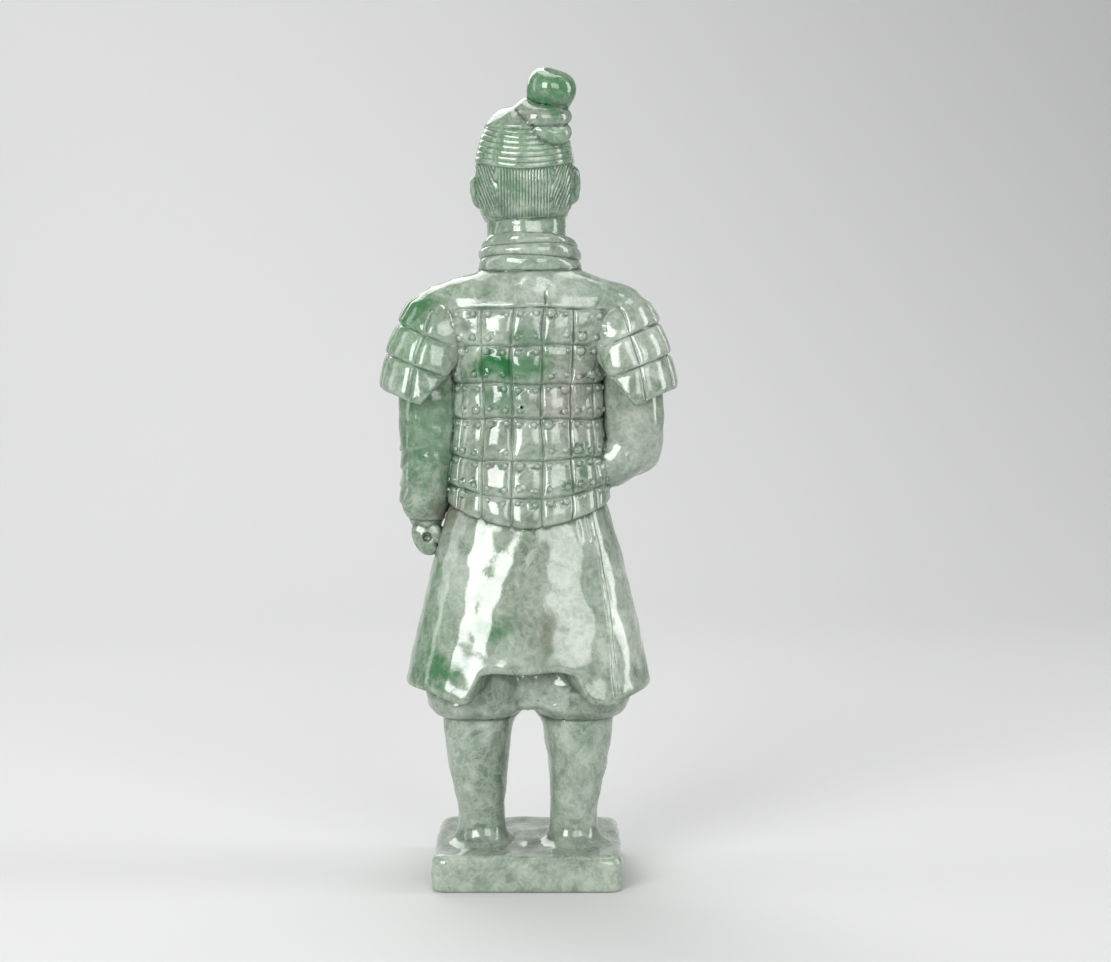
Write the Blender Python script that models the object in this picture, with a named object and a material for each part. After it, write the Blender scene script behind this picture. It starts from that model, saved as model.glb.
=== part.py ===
"""A standing soldier in plate armour, carved with its plinth from one block of jadeite.

The soldier faces -Y and +Z is up. The origin is the middle of the plinth's underside.
Each form of the body is a closed skin over rings of points, and a Boolean union makes them one stone.
"""

import bmesh
import bpy
import numpy as np
from mathutils import Matrix

# Driving dimensions, in metres
FIGURE_HEIGHT = 0.1912  # from the soles to the top of the topknot
PLINTH_WIDTH = 0.0464
PLINTH_DEPTH = 0.0462
PLINTH_HEIGHT = 0.0088
PLINTH_CORNER = 0.0036  # radius of its corners, seen from above
PLINTH_EDGE = 0.0021  # rounding of its top edges
PLINTH_FOOT = 0.0008  # rounding of its bottom edges
SOLE_SINK = 0.0004  # how far the soles run down into the plinth
GRIP_BORE = 0.0012  # radius of the blind holes in the fists
GRIP_DEPTH = 0.0016

# The pose and carving are shares of the figure's own height. They are written as the millimetres that
# they measure on a figure 191.2 mm tall, with heights counted from the soles.
MM = FIGURE_HEIGHT / 191.2
FIGURE_PLACE = Matrix.Translation((0, 0, PLINTH_HEIGHT)) @ Matrix.Scale(MM, 4)

LEFT, RIGHT = 1, -1  # the soldier's own left side lies towards +X

# Armour of the trunk: rows of plates from the bottom rim up, and plates around the body
ROW_HEIGHTS = (7.5, 9.1, 10.2, 8.6, 9.3, 8.9)
RIM_BOTTOM = 78.9  # lowest point of the rim, at the middle of the back
RIM_RISE = 6.0  # how much higher the rim is at the sides
PLATES_AROUND = 16
GROOVE_DEPTH = 0.55
GROOVE_HALF = 0.45  # half the width of a cut line
PLATE_SWELL = 0.25
SHINGLE = 0.3  # how far a row stands out over the row below it

UPRIGHTS_HALF_WIDTH = 18.9  # the trunk's half width that spaces the upright lines
SHOULDERS_RIGHT = 0.7  # how far the mantle sits towards the soldier's right

# Shoulder guards: rows of plates that lap down over each upper arm
GUARD_ROWS = 3
GUARD_OUTSIDE = (138.1, 129.2, 121.6, 112.8)  # heights of the top, the row lines and the rim, outside
GUARD_BEHIND = (137.4, 123.4, 115.8, 108.6)  # and behind
GUARD_ARMPIT = 13.6  # how far the rim climbs towards the armpit
GUARD_PLATES = 7
GUARD_INNER_TOP = 11.5
GUARD_INNER = 16.6
GUARD_WIDER_RIGHT = 0.4
GUARD_LAP = 0.5

# Head
HEAD_LEFT = 0.7  # how far the head sits towards the soldier's left
HEAD_TOP = 181.6
CHIN = 153.6
EYE_LINE = 165.9
NOSE_BASE = 161.0
MOUTH_LINE = 158.4
BROW = 168.2
FRONT_HAIRLINE = 174.5
NAPE_HAIRLINE = 154.5
BRAID_LOW_BACK = 166.1
BRAID_LOW_SIDE = 168.6
BRAID_PITCH = 1.98
BRAIDS = 5
BRAID_DEPTH = 0.4
HAIR_LIFT = 0.5
FLAP_LIFT = 0.85  # how far the flap over the crown stands out over the braids
EARS = {LEFT: (161.5, 4.3), RIGHT: (163.2, 5.1)}  # height of the middle, and half the length
STRAND_DEPTH = 0.3
STRANDS_BEHIND = 7

SHARP = np.radians(38)  # edges that turn more than this are left crisp
JADE_GREEN = (0.50, 0.62, 0.52, 1.0)

# Height, half width, half depth, centre y, squareness of the ring
TRUNK = (
    (76.7, 20.4, 15.1, 0.4, 2.3),
    (85.7, 19.8, 14.6, 0.3, 2.3),
    (95.7, 19.0, 13.9, 0.2, 2.3),
    (105.7, 18.5, 13.5, 0.2, 2.3),
    (114.7, 18.7, 13.6, 0.3, 2.3),
    (122.7, 20.2, 13.9, 0.4, 2.3),
    (128.6, 23.8, 13.8, 0.5, 2.2),
    (132.6, 27.1, 13.4, 0.6, 2.1),
    (135.3, 28.1, 12.8, 0.6, 2.1),
    (137.2, 26.1, 12.3, 0.6, 2.1),
    (139.2, 21.3, 11.9, 0.6, 2.1),
    (140.7, 16.2, 11.6, 0.5, 2.1),
    (142.1, 12.6, 11.0, 0.4, 2.1),
    (144.4, 11.0, 10.0, 0.4, 2.0),
)
SKIRT = (
    (34.2, 31.4, 22.4, 0.4, 2.6),
    (39.5, 30.4, 21.7, 0.4, 2.6),
    (49.1, 28.4, 20.3, 0.4, 2.6),
    (59.2, 26.1, 18.7, 0.4, 2.6),
    (69.3, 23.7, 16.9, 0.4, 2.5),
    (77.4, 21.4, 15.1, 0.4, 2.4),
    (85.7, 18.8, 13.2, 0.4, 2.3),
    (89.7, 17.0, 12.0, 0.4, 2.3),
)
# Angle round the skirt in degrees from the left side, and the height of its hem there
HEM = (
    (0, 39.3),
    (30, 39.4),
    (40, 39.2),
    (50, 37.6),
    (55, 36.3),
    (59.5, 37.2),
    (63.5, 42.4),
    (67.5, 43.8),
    (90, 43.8),
    (110, 43.8),
    (114, 42.4),
    (118, 37.2),
    (124, 36.3),
    (136, 37.5),
    (150, 38.8),
    (180, 39.3),
    (215, 37.8),
    (245, 36.8),
    (270, 36.6),
    (295, 36.8),
    (325, 37.8),
)
# Height, distance from the middle, half width, half depth, centre y
TROUSERS = (
    (32.0, 12.3, 7.6, 8.6, 1.8),
    (32.6, 12.2, 9.4, 10.2, 1.8),
    (33.8, 12.2, 11.0, 11.8, 1.8),
    (35.4, 12.1, 11.9, 12.8, 1.7),
    (37.5, 12.1, 12.3, 13.2, 1.5),
    (42.3, 11.9, 12.3, 13.3, 1.2),
    (48.4, 11.0, 11.4, 12.0, 0.8),
)
SEAT = (
    (34.2, 4.6, 6.6, 1.6, 2.1),
    (35.0, 6.6, 8.2, 1.6, 2.1),
    (37.0, 7.6, 9.0, 1.5, 2.1),
    (47.0, 8.0, 9.6, 1.0, 2.1),
)
LEG = (
    (2.5, 11.5, 5.7, 7.0, 4.6),
    (8.7, 11.7, 5.6, 6.9, 4.4),
    (13.8, 12.1, 6.2, 7.6, 4.0),
    (18.9, 12.5, 7.0, 8.5, 3.6),
    (25.0, 12.6, 7.7, 9.2, 3.0),
    (30.4, 12.5, 8.3, 9.6, 2.4),
    (35.2, 12.4, 8.6, 9.8, 2.0),
)
ANKLE_SPREAD = 4.2  # radius of the fillet between leg and plinth
CROTCH_TOP = 33.9  # height of the arch between the legs
CROTCH_ARCH = 4.3  # its radius
ARM_LEFT = (
    (80.0, 25.2, 4.2, 4.9, -0.4),
    (81.3, 25.6, 4.9, 5.9, -0.3),
    (83.7, 25.7, 6.0, 6.8, -0.1),
    (89.9, 24.9, 6.9, 7.5, 0.1),
    (99.9, 24.4, 7.5, 8.0, 0.2),
    (109.9, 24.3, 7.9, 8.3, 0.1),
    (118.7, 24.1, 7.8, 8.0, 0.0),
    (126.6, 23.4, 7.0, 7.2, 0.0),
)
# Centre line of the bent right arm, x outwards, y, z, then its half sizes across and in the bend's plane
ARM_RIGHT = (
    (24.3, 0.0, 126.6, 6.0, 7.2),
    (25.4, 0.3, 118.7, 7.1, 8.0),
    (26.1, 0.6, 110.7, 7.5, 8.3),
    (26.3, 0.3, 104.0, 7.6, 8.2),
    (25.9, -3.7, 99.0, 7.6, 7.8),
    (22.8, -9.4, 97.0, 6.9, 7.0),
    (19.8, -14.6, 96.2, 5.9, 6.3),
    (17.2, -18.0, 97.0, 4.6, 5.0),
)
FIST_LEFT = (25.0, -0.4, 75.9)
FIST_RIGHT = (-14.6, -21.0, 98.6)
FIST_HALF = (4.0, 4.7)
FIST_LENGTH = 9.0
FINGERS = 4
COLLAR = (
    (140.1, 12.5, 11.6, 0.4),
    (142.5, 12.4, 11.6, 0.4),
    (145.4, 12.3, 11.4, 0.4),
    (148.4, 11.5, 10.7, 0.4),
    (150.1, 10.6, 9.9, 0.4),
)
COLLAR_FOLDS = (140.8, 144.5, 147.5, 150.1)
COLLAR_LEFT = -0.5
COLLAR_ROLL = 0.8
COLLAR_TILT = 0.09
NECK_LEFT = 0.3
NECK = (
    (137.5, 10.4, 9.6, 0.4),
    (149.4, 10.0, 9.5, 0.6),
    (152.3, 9.8, 9.6, 0.6),
    (158.2, 9.6, 9.4, 0.4),
)
HEAD = (
    (150.9, 5.4, 5.8, -2.6, 2.0),
    (152.3, 7.6, 8.6, -2.2, 2.1),
    (153.9, 9.4, 10.6, -1.4, 2.2),
    (155.7, 10.6, 11.7, -0.4, 2.2),
    (159.2, 11.6, 12.5, 0.0, 2.2),
    (163.1, 11.9, 12.8, 0.2, 2.2),
    (167.1, 11.8, 12.8, 0.4, 2.2),
    (171.0, 11.3, 12.5, 0.6, 2.2),
    (174.9, 10.1, 11.4, 0.9, 2.2),
    (177.8, 8.3, 9.6, 1.3, 2.1),
    (179.9, 6.0, 7.2, 1.7, 2.0),
    (181.3, 3.2, 4.0, 2.0, 2.0),
)
SHOE = (
    # y, half width, height of the instep, squareness
    (8.5, 3.0, 2.0, 2.4),
    (6.0, 4.0, 4.0, 2.4),
    (1.0, 4.4, 6.6, 2.4),
    (-4.0, 4.9, 6.0, 2.5),
    (-10.0, 5.2, 4.4, 2.7),
    (-15.0, 5.3, 3.9, 3.0),
    (-17.6, 5.0, 4.4, 3.2),
    (-18.6, 4.0, 3.4, 3.0),
)


def through(keys, where):
    """Values of a smooth curve through the keys, whose first column is the position along it."""
    keys = np.asarray(keys, float)
    at, values = keys[:, 0], keys[:, 1:]
    slopes = np.gradient(values, at, axis=0)
    where = np.clip(np.asarray(where, float), at[0], at[-1])
    i = np.clip(np.searchsorted(at, where, side="right") - 1, 0, len(at) - 2)
    span = at[i + 1] - at[i]
    f = ((where - at[i]) / span)[..., None]
    span = span[..., None]
    start = values[i] * (1 + 2 * f) * (1 - f) ** 2 + slopes[i] * span * f * (1 - f) ** 2
    end = values[i + 1] * f**2 * (3 - 2 * f) + slopes[i + 1] * span * f**2 * (f - 1)
    return np.moveaxis(start + end, -1, 0)


def eased(low, high, value):
    """0 below low, 1 above high, and a smooth step between."""
    f = np.clip((value - low) / (high - low), 0, 1)
    return f * f * (3 - 2 * f)


def hump(value, half):
    """A bell of height 1 that has faded out by twice its half width."""
    return np.exp(-((value / half) ** 2))


def oval(angle, half_x, half_y, squareness):
    """A point on an oval, which gets squarer as squareness rises above 2."""
    c, s = np.cos(angle), np.sin(angle)
    swell = (np.abs(c) ** squareness + np.abs(s) ** squareness) ** (-1 / squareness)
    return half_x * c * swell, half_y * s * swell


def around(count, start=0.0):
    return start + np.linspace(0, 2 * np.pi, count, endpoint=False)


def normals_of(rings):
    """Outward direction at each point of a grid of rings that run counter-clockwise and upwards."""
    across = np.roll(rings, -1, axis=1) - np.roll(rings, 1, axis=1)
    along = np.gradient(rings, axis=0)
    n = np.cross(across, along)
    return n / np.maximum(np.linalg.norm(n, axis=2, keepdims=True), 1e-9)


def raised(rings, height):
    """The rings with each point moved outwards by its height."""
    return rings + normals_of(rings) * height[..., None]


def closed_skin(name, rings, first_pole=None, last_pole=None):
    """A mesh object over a grid of rings, closed at both ends by a fan to a pole."""
    rows, columns, _ = rings.shape
    poles = [
        rings[0].mean(axis=0) if first_pole is None else np.array(first_pole, float),
        rings[-1].mean(axis=0) if last_pole is None else np.array(last_pole, float),
    ]
    mesh = bmesh.new()
    verts = [mesh.verts.new(p) for p in rings.reshape(-1, 3)]
    first, last = (mesh.verts.new(p) for p in poles)
    for r in range(rows - 1):
        for c in range(columns):
            d = (c + 1) % columns
            corners = (r * columns + c, r * columns + d)
            upper = ((r + 1) * columns + d, (r + 1) * columns + c)
            mesh.faces.new([verts[i] for i in corners + upper])
    top = (rows - 1) * columns
    for c in range(columns):
        d = (c + 1) % columns
        mesh.faces.new((first, verts[d], verts[c]))
        mesh.faces.new((last, verts[top + c], verts[top + d]))
    bmesh.ops.recalc_face_normals(mesh, faces=mesh.faces[:])
    data = bpy.data.meshes.new(name)
    mesh.to_mesh(data)
    mesh.free()
    data.transform(FIGURE_PLACE)
    data.shade_smooth()
    data.set_sharp_from_angle(angle=SHARP)
    form = bpy.data.objects.new(name, data)
    return form


def stacked(keys, heights, angles, middle_x=0.0):
    """Level rings up a form whose keys give half width, half depth, centre y and squareness."""
    a, b, cy, n = through(keys, heights)
    x, y = oval(angles[None, :], a, b, n)
    return np.stack([x + middle_x, y + cy, np.broadcast_to(heights, x.shape)], axis=2)


def limb(keys, heights, angles, side):
    """Level rings up a limb whose keys give distance from the middle, half width, half depth and centre y."""
    cx, a, b, cy = through(keys, np.broadcast_to(heights, (len(heights), len(angles))))
    x, y = oval(angles[None, :], a, b, 2.15)
    return np.stack([side * cx + x, y + cy, np.broadcast_to(heights, x.shape)], axis=2)


def tube(path, half_across, half_in_plane, angles, across, squareness=2.1):
    """Rings square to a path. The across direction is the one that the path doesn't bend towards."""
    path = np.asarray(path, float)
    ahead = np.gradient(path, axis=0)
    ahead /= np.linalg.norm(ahead, axis=1, keepdims=True)
    across = np.asarray(across, float)
    e1 = across - ahead * (ahead @ across)[:, None]
    e1 /= np.linalg.norm(e1, axis=1, keepdims=True)
    e2 = np.cross(ahead, e1)
    u, v = oval(
        angles[None, :],
        np.asarray(half_across, float)[:, None],
        np.asarray(half_in_plane, float)[:, None],
        squareness,
    )
    return path[:, None] + u[..., None] * e1[:, None] + v[..., None] * e2[:, None]


def turned(centre, axis, across, profile, sides, squareness=2.0):
    """Rings along a short straight axis: the profile gives distance along it, and both half sizes."""
    axis = np.asarray(axis, float) / np.linalg.norm(axis)
    along, half_u, half_v = np.asarray(profile, float).T
    path = np.asarray(centre, float) + along[:, None] * axis
    return tube(path, half_u, half_v, around(sides), across, squareness)


def groove_line(distance):
    """Depth of a cut line at a distance from it."""
    return -GROOVE_DEPTH * hump(distance, GROOVE_HALF)


def row_lines():
    return RIM_BOTTOM + np.concatenate([[0.0], np.cumsum(ROW_HEIGHTS)])


def oval_with_straight_sides(angles, a, b, n):
    """An oval whose points stay at the same x as it widens, except near its sides."""
    share, _ = oval(angles, 1.0, 1.0, n)
    straight = np.minimum(a, UPRIGHTS_HALF_WIDTH)
    share = (straight * share + (a - straight) * np.sign(share) * np.abs(share) ** 5) / a
    share = np.clip(share, -1, 1)
    return a * share, b * np.sign(np.sin(angles)) * (1 - np.abs(share) ** n) ** (1 / n)


def trunk():
    """Plate armour up to the shoulder blades, and the smooth mantle that runs from there into the collar."""
    lines = row_lines()
    edge = 1.3 * GROOVE_HALF
    levels = [lines[0] + 0.25]
    for low, high in zip(lines[:-1], lines[1:]):
        levels += [low + edge, high]
    levels += list(lines[-1] + np.array([edge, 3.4, 6.0, 8.6]))
    levels = np.array(levels)[:, None]

    pitch = 2 * np.pi / PLATES_AROUND
    arc = 7.2  # millimetres along a plate
    inset = pitch * edge / arc
    starts = np.pi / 2 + pitch * (np.arange(PLATES_AROUND) + 0.5)
    angles = (starts[:, None] + np.array([0, inset, pitch - inset])).ravel()

    share_up = np.clip((levels - lines[0]) / (lines[-1] - lines[0]), 0, 1)
    heights = levels + RIM_RISE * (1 - share_up) ** 5 * np.cos(angles[None, :]) ** 2
    a, b, cy, n = through(TRUNK, heights)
    x, y = oval_with_straight_sides(angles[None, :], a, b, n)
    leaning = SHOULDERS_RIGHT * eased(126, 138, heights)
    rings = np.stack([x - leaning, y + cy, heights], axis=2)

    from_line = np.abs((angles - starts[0] + pitch / 2) % pitch - pitch / 2) / pitch * arc
    row = np.clip(np.searchsorted(lines, levels, side="left") - 1, 0, len(ROW_HEIGHTS) - 1)
    above = (levels - lines[row]) / np.array(ROW_HEIGHTS)[row]
    from_row_line = np.min(np.abs(levels - lines[None, 1:]), axis=1, keepdims=True)
    in_armour = levels <= lines[-1] + edge
    carving = np.where(
        levels < lines[-1] + 0.01,
        PLATE_SWELL + SHINGLE * (1 - above) + groove_line(from_line)[None, :],
        0.0,
    )
    carving = carving + np.where(in_armour, groove_line(from_row_line), 0.0)
    return closed_skin("trunk", raised(rings, carving), (0, 0, 83), (0, 0, 144.8))


def hem_height(angles):
    """Height of the skirt's hem round the body, on a curve that closes on itself."""
    turns = [(a + t, z) for t in (-360, 0, 360) for a, z in HEM]
    return through(turns, np.degrees(angles) % 360)[0]


def skirt_folds(angles, share_up):
    """The overlapping edge at the right of the back, a soft ridge at its left, and the front lap."""
    deg = np.degrees(angles)[None, :] % 360
    edge_at = 130.5 + 7.5 * share_up
    ridge_at = 50 + 10 * share_up
    lap_at = 288 - 10 * share_up
    beyond = eased(edge_at, edge_at + 6, deg) * (1 - eased(200, 225, deg))
    edge = 0.6 * hump(deg - edge_at, 3.0) + 0.3 * beyond
    ridge = 0.5 * hump(deg - ridge_at, 9)
    lap = 0.6 * hump(deg - lap_at, 4.0) + 0.5 * hump(deg - lap_at - 14, 12)
    return edge + ridge + lap


def skirt():
    """The robe below the armour, with its hem cut up into an arch behind."""
    angles = np.radians(np.array([
        0, 16, 31, 42, 50, 55, 59.5, 63.5, 67.5, 83, 97, 110, 114, 118, 124, 130, 134, 138.5, 145, 157,
        176, 198, 220, 242, 262, 276, 283, 289, 296, 312, 336,
    ], float))
    share_up = np.array([0, 0.04, 0.2, 0.42, 0.64, 0.84, 1.0])[:, None]
    top = SKIRT[-1][0]
    hem = hem_height(angles)[None, :]
    heights = hem + (top - hem) * share_up
    a, b, cy, n = through(SKIRT, heights)
    tuck = 0.5 * (1 - eased(0, 0.05, share_up))
    x, y = oval(angles[None, :], a - tuck, b - tuck, n)
    rings = np.stack([x, y + cy, heights], axis=2)
    fade = 1 - eased(0.8, 1.0, share_up)
    rings = raised(rings, skirt_folds(angles, share_up) * fade)
    lip = rings[:1] * [0.86, 0.86, 1.0] + [0, 0, 1.8]
    return closed_skin("skirt", np.concatenate([lip, rings]), (0, 0, 48.0))


def trousers(side):
    heights = np.array([32.0, 32.8, 34.6, 38.5, 46.0])[:, None]
    rings = limb(TROUSERS, heights, around(16), side)
    return closed_skin("trouser", rings, (side * TROUSERS[0][1], 1.8, 33.0))


def seat():
    """The cloth between the two trouser legs, whose underside is an arch."""
    heights = np.array([34.2, 35.1, 37.5, 46.0])[:, None]
    return closed_skin("seat", stacked(SEAT, heights, around(16)))


def leg(side):
    """A booted leg that spreads in a fillet into the plinth, and bends inwards into the arch above."""
    sink = -SOLE_SINK / MM
    low = np.array([sink, 0.3, 1.1, 2.5])
    heights = np.concatenate([low, [5.0, 9.0, 15, 22, 29.6, 31.6, 33.0, 35.0]])[:, None]
    angles = around(12)
    rings = limb(LEG, heights, angles, side)
    rise = np.clip(heights, 0, ANKLE_SPREAD)
    flare = ANKLE_SPREAD - np.sqrt(ANKLE_SPREAD**2 - (ANKLE_SPREAD - rise) ** 2)
    rings = raised(rings, np.broadcast_to(flare, rings.shape[:2]))
    up = np.clip(heights - CROTCH_TOP + CROTCH_ARCH, 0, 0.97 * CROTCH_ARCH)
    closing = CROTCH_ARCH - np.sqrt(CROTCH_ARCH**2 - up**2)
    rings[..., 0] -= side * closing * np.clip(-side * np.cos(angles), 0, 1)
    return closed_skin("leg", rings)


def shoe(side):
    """A square-toed shoe that points forward out of the leg."""
    y, half, top, squareness = np.array(SHOE).T
    angles = around(10)
    sink = -SOLE_SINK / MM
    u, v = oval(angles[None, :], half[:, None], (top - sink)[:, None] / 2, squareness[:, None])
    toe_out = side * 0.02 * (8.0 - y)[:, None]
    x = side * 11.3 + toe_out + u
    z = v + (top + sink)[:, None] / 2
    return closed_skin("shoe", np.stack([x, np.broadcast_to(y[:, None], x.shape), z], axis=2))


def guard_lines(x_share, y_share):
    """Heights of a guard's top, row lines and rim, where each share across and back is 1 at the outside and behind.

    The lines fall evenly from the outside inwards, and the rim then climbs to the armpit.
    """
    inwards = np.clip(-x_share, 0, 1)
    reach = np.array([1.4, 1.4, 1.4, 1.05])[:, None]
    fall = np.clip((1 - x_share) / reach, 0, 1) * np.where(y_share > 0, 1.0, 0.7 + 0.3 * inwards)
    outside, behind = np.array(GUARD_OUTSIDE)[:, None], np.array(GUARD_BEHIND)[:, None]
    lines = outside + (behind - outside) * fall
    rim = lines[-1:] + GUARD_ARMPIT * inwards**1.15
    return np.maximum(lines, rim + 0.5 * np.arange(GUARD_ROWS, -1, -1)[:, None])


def guard(side):
    """A shoulder guard of three lapped rows of plates, its rim cut up towards the armpit."""
    steps = [0.3]
    for row in range(GUARD_ROWS):
        steps += [row + 0.95, row + 1.0]
    place = np.array(steps)[:, None]
    pitch = 2 * np.pi / GUARD_PLATES
    starts = pitch * (np.arange(GUARD_PLATES) + 0.5)
    angles = np.sort((starts[:, None] + np.array([0, 0.1, 0.5, 0.9]) * pitch).ravel() % (2 * np.pi))
    x_share, y_share = oval(angles, 1.0, 1.0, 2.2)
    lines = guard_lines(x_share, y_share)
    row = np.clip(place[:, 0].astype(int), 0, GUARD_ROWS - 1)
    heights = lines[row] + (lines[row + 1] - lines[row]) * (place - row[:, None])

    share_down = place / GUARD_ROWS
    outer = np.interp(share_down, [0.04, 0.16, 0.33, 0.64, 0.95, 1.0], [25.6, 29.6, 32.0, 34.7, 36.2, 36.0])
    outer = outer + GUARD_WIDER_RIGHT * (side == RIGHT)
    inner = np.interp(share_down, [0.04, 0.5, 1.0], [GUARD_INNER_TOP, 14.5, GUARD_INNER])
    depth = np.interp(share_down, [0.04, 0.16, 0.33, 0.64, 1.0], [7.2, 9.4, 11.4, 12.3, 12.6])
    x, y = oval(angles[None, :], (outer - inner) / 2, depth, 2.2)
    rings = np.stack([(outer + inner) / 2 + x, y + 0.3, heights], axis=2)

    plated = eased(-0.75, -0.4, x_share)
    at_line = (place % 1 == 0) & (place < GUARD_ROWS)
    lap = np.where(at_line, -0.35, GUARD_LAP * (place - row[:, None]))
    from_line = np.min(np.abs((angles[None, :] - starts[:, None] + np.pi) % (2 * np.pi) - np.pi), axis=0)
    cuts = -0.4 * hump(from_line / pitch, 0.06)
    relief = (lap + cuts) * plated
    rings = raised(rings[::-1], relief[::-1])
    rings[..., 0] *= side
    pole = (side * 26.0, 0.3, GUARD_OUTSIDE[-1] + 3)
    top_pole = (side * 21.0, 0.3, GUARD_OUTSIDE[0] - 0.4)
    return closed_skin("guard", rings, pole, top_pole)


def sleeve_folds(height, angles, outward):
    """Shallow steps down the outer front of a sleeve, like cloth pushed up the arm."""
    reach = hump(np.radians(1) * (np.degrees(angles - outward + np.pi) % 360 - 180), 1.1)
    step = 4.3
    saw = ((height - 80.9) / step) % 1
    fade = eased(81.7, 83.7, height) * (1 - eased(97.2, 99.2, height))
    return 0.75 * (0.5 - saw) * fade * reach


def arm_left():
    """The arm that hangs straight down."""
    notches = 80.9 + 4.3 * np.arange(1, 5)
    cuts = np.sort(np.concatenate([notches - 0.35, notches + 0.35]))
    heights = np.concatenate([[80.0, 81.2], cuts, [102.5, 112, 126.6]])[:, None]
    angles = around(14)
    rings = limb(ARM_LEFT, heights, angles, LEFT)
    rings = raised(rings, sleeve_folds(heights, angles[None, :], -0.5))
    return closed_skin("arm_left", rings)


def arm_right():
    """The arm that bends at the elbow and brings the forearm across the belly."""
    share = np.linspace(0, len(ARM_RIGHT) - 1, 14)
    keys = [(i, *row) for i, row in enumerate(ARM_RIGHT)]
    x, y, z, across, in_plane = through(keys, share)
    path = np.stack([RIGHT * x, y, z], axis=1)
    angles = around(14)
    rings = tube(path, across, in_plane, angles, (1, 0, 0))
    along = share[:, None] / share[-1]
    wave = 0.55 * np.sin(2 * np.pi * 3.5 * (along - 0.5)) * eased(0.5, 0.62, along)
    reach = hump((angles[None, :] - 1.2 * np.pi + np.pi) % (2 * np.pi) - np.pi, 1.3)
    return closed_skin("arm_right", raised(rings, wave * reach * (1 - eased(0.93, 1, along))))


def fist(name, centre, axis, across):
    """Four curled fingers in a row round a blind grip hole, which shows at both ends of the row."""
    half = FIST_LENGTH / 2
    bore, deep = GRIP_BORE / MM, GRIP_DEPTH / MM
    u, v = FIST_HALF
    finger = FIST_LENGTH / FINGERS
    rows = [(-half + deep, bore * 0.9, bore * 0.9), (-half + 0.2, bore, bore)]
    rows += [(-half, u * 0.7, v * 0.7)]
    for f in range(FINGERS):
        low = -half + f * finger
        rows += [(low + 0.5 * finger, u, v)]
        rows += [(low + finger, u * 0.86, v * 0.88)] * (f < FINGERS - 1)
    rows += [(half, u * 0.7, v * 0.7)]
    rows += [(half - 0.2, bore, bore), (half - deep, bore * 0.9, bore * 0.9)]
    return closed_skin(name, turned(centre, axis, across, rows, 8, 2.3))


def thumb(centre, axis, across):
    profile = [(-2.6, 0.9, 0.9), (-2.0, 1.5, 1.5), (0, 1.6, 1.6), (2.2, 1.4, 1.4), (2.9, 0.8, 0.8)]
    return closed_skin("thumb", turned(centre, axis, across, profile, 8))


def wrist_left():
    heights = np.array([76.5, 78.0, 79.2, 82.5])[:, None]
    keys = ((76, 25.3, 3.3, 4.0, -0.4), (79.2, 25.5, 3.7, 4.5, -0.4), (83, 25.5, 3.8, 4.5, -0.4))
    return closed_skin("wrist_left", limb(keys, heights, around(12), LEFT))


def wrist_right():
    start, end = np.array([-18.2, -16.6, 96.4]), np.array([-14.8, -20.6, 98.3])
    axis = end - start
    profile = [(0, 3.0, 3.6), (2.5, 3.1, 3.7), (4.5, 3.0, 3.6), (5.6, 2.6, 3.0)]
    return closed_skin("wrist_right", turned(start, axis, (1, 0, 0), profile, 8))


def collar():
    """A scarf wound round the neck in three rolls, higher behind than in front."""
    folds = np.array(COLLAR_FOLDS)
    levels = [COLLAR[0][0]]
    for low, high in zip(folds[:-1], folds[1:]):
        levels += list(low + (high - low) * np.array([0.0, 0.25, 0.75]))
    heights = np.array(levels + [folds[-1]])[:, None]
    angles = around(18)
    a, b, cy = through(COLLAR, np.broadcast_to(heights, (len(heights), len(angles))))
    x, y = oval(angles[None, :], a, b, 2.1)
    rings = np.stack([x + COLLAR_LEFT, y + cy, heights + COLLAR_TILT * y], axis=2)
    row = np.clip(np.searchsorted(folds, heights, side="right") - 1, 0, len(folds) - 2)
    share = np.clip((heights - folds[row]) / (folds[row + 1] - folds[row]), 0, 1)
    roll = COLLAR_ROLL * np.sqrt(np.clip(np.sin(np.pi * share), 0, 1)) - 0.35
    return closed_skin("collar", raised(rings, np.broadcast_to(roll, x.shape)))


def neck():
    keys = [(z, a, b, cy, 2.0) for z, a, b, cy in NECK]
    heights = np.array([139.5, 151.5, 158.0])[:, None]
    return closed_skin("neck", stacked(keys, heights, around(16), NECK_LEFT))


def face_relief(x, z):
    """How far the calm, plain face stands forward of the smooth head, by place across and up it."""
    side = np.abs(x)
    nose_height = np.interp(z, [NOSE_BASE - 0.5, NOSE_BASE + 0.6, EYE_LINE, BROW], [0, 2.5, 1.1, 0.2])
    nose_half = np.interp(z, [NOSE_BASE, EYE_LINE, BROW], [1.9, 1.2, 1.8])
    return (
        nose_height * hump(x, nose_half)
        + 0.7 * hump(side - 1.8, 0.8) * hump(z - NOSE_BASE - 0.5, 0.8)
        + 0.6 * hump(side - 4.0, 3.0) * hump(z - BROW, 1.2)
        - 1.2 * hump(side - 3.9, 2.2) * hump(z - EYE_LINE, 1.7)
        + 0.8 * hump(side - 3.9, 1.6) * hump(z - EYE_LINE + 0.1, 0.9)
        + 0.5 * hump(side - 5.6, 2.6) * hump(z - NOSE_BASE - 1.6, 2.4)
        + 0.7 * hump(x, 2.3) * hump(z - MOUTH_LINE - 0.75, 0.6)
        + 0.8 * hump(x, 1.9) * hump(z - MOUTH_LINE + 0.75, 0.65)
        - 0.4 * hump(x, 2.5) * hump(z - MOUTH_LINE, 0.3)
        - 0.5 * hump(x, 2.2) * hump(z - MOUTH_LINE + 1.9, 0.6)
        + 0.9 * hump(x, 2.6) * hump(z - CHIN - 1.7, 1.3)
    )


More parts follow.
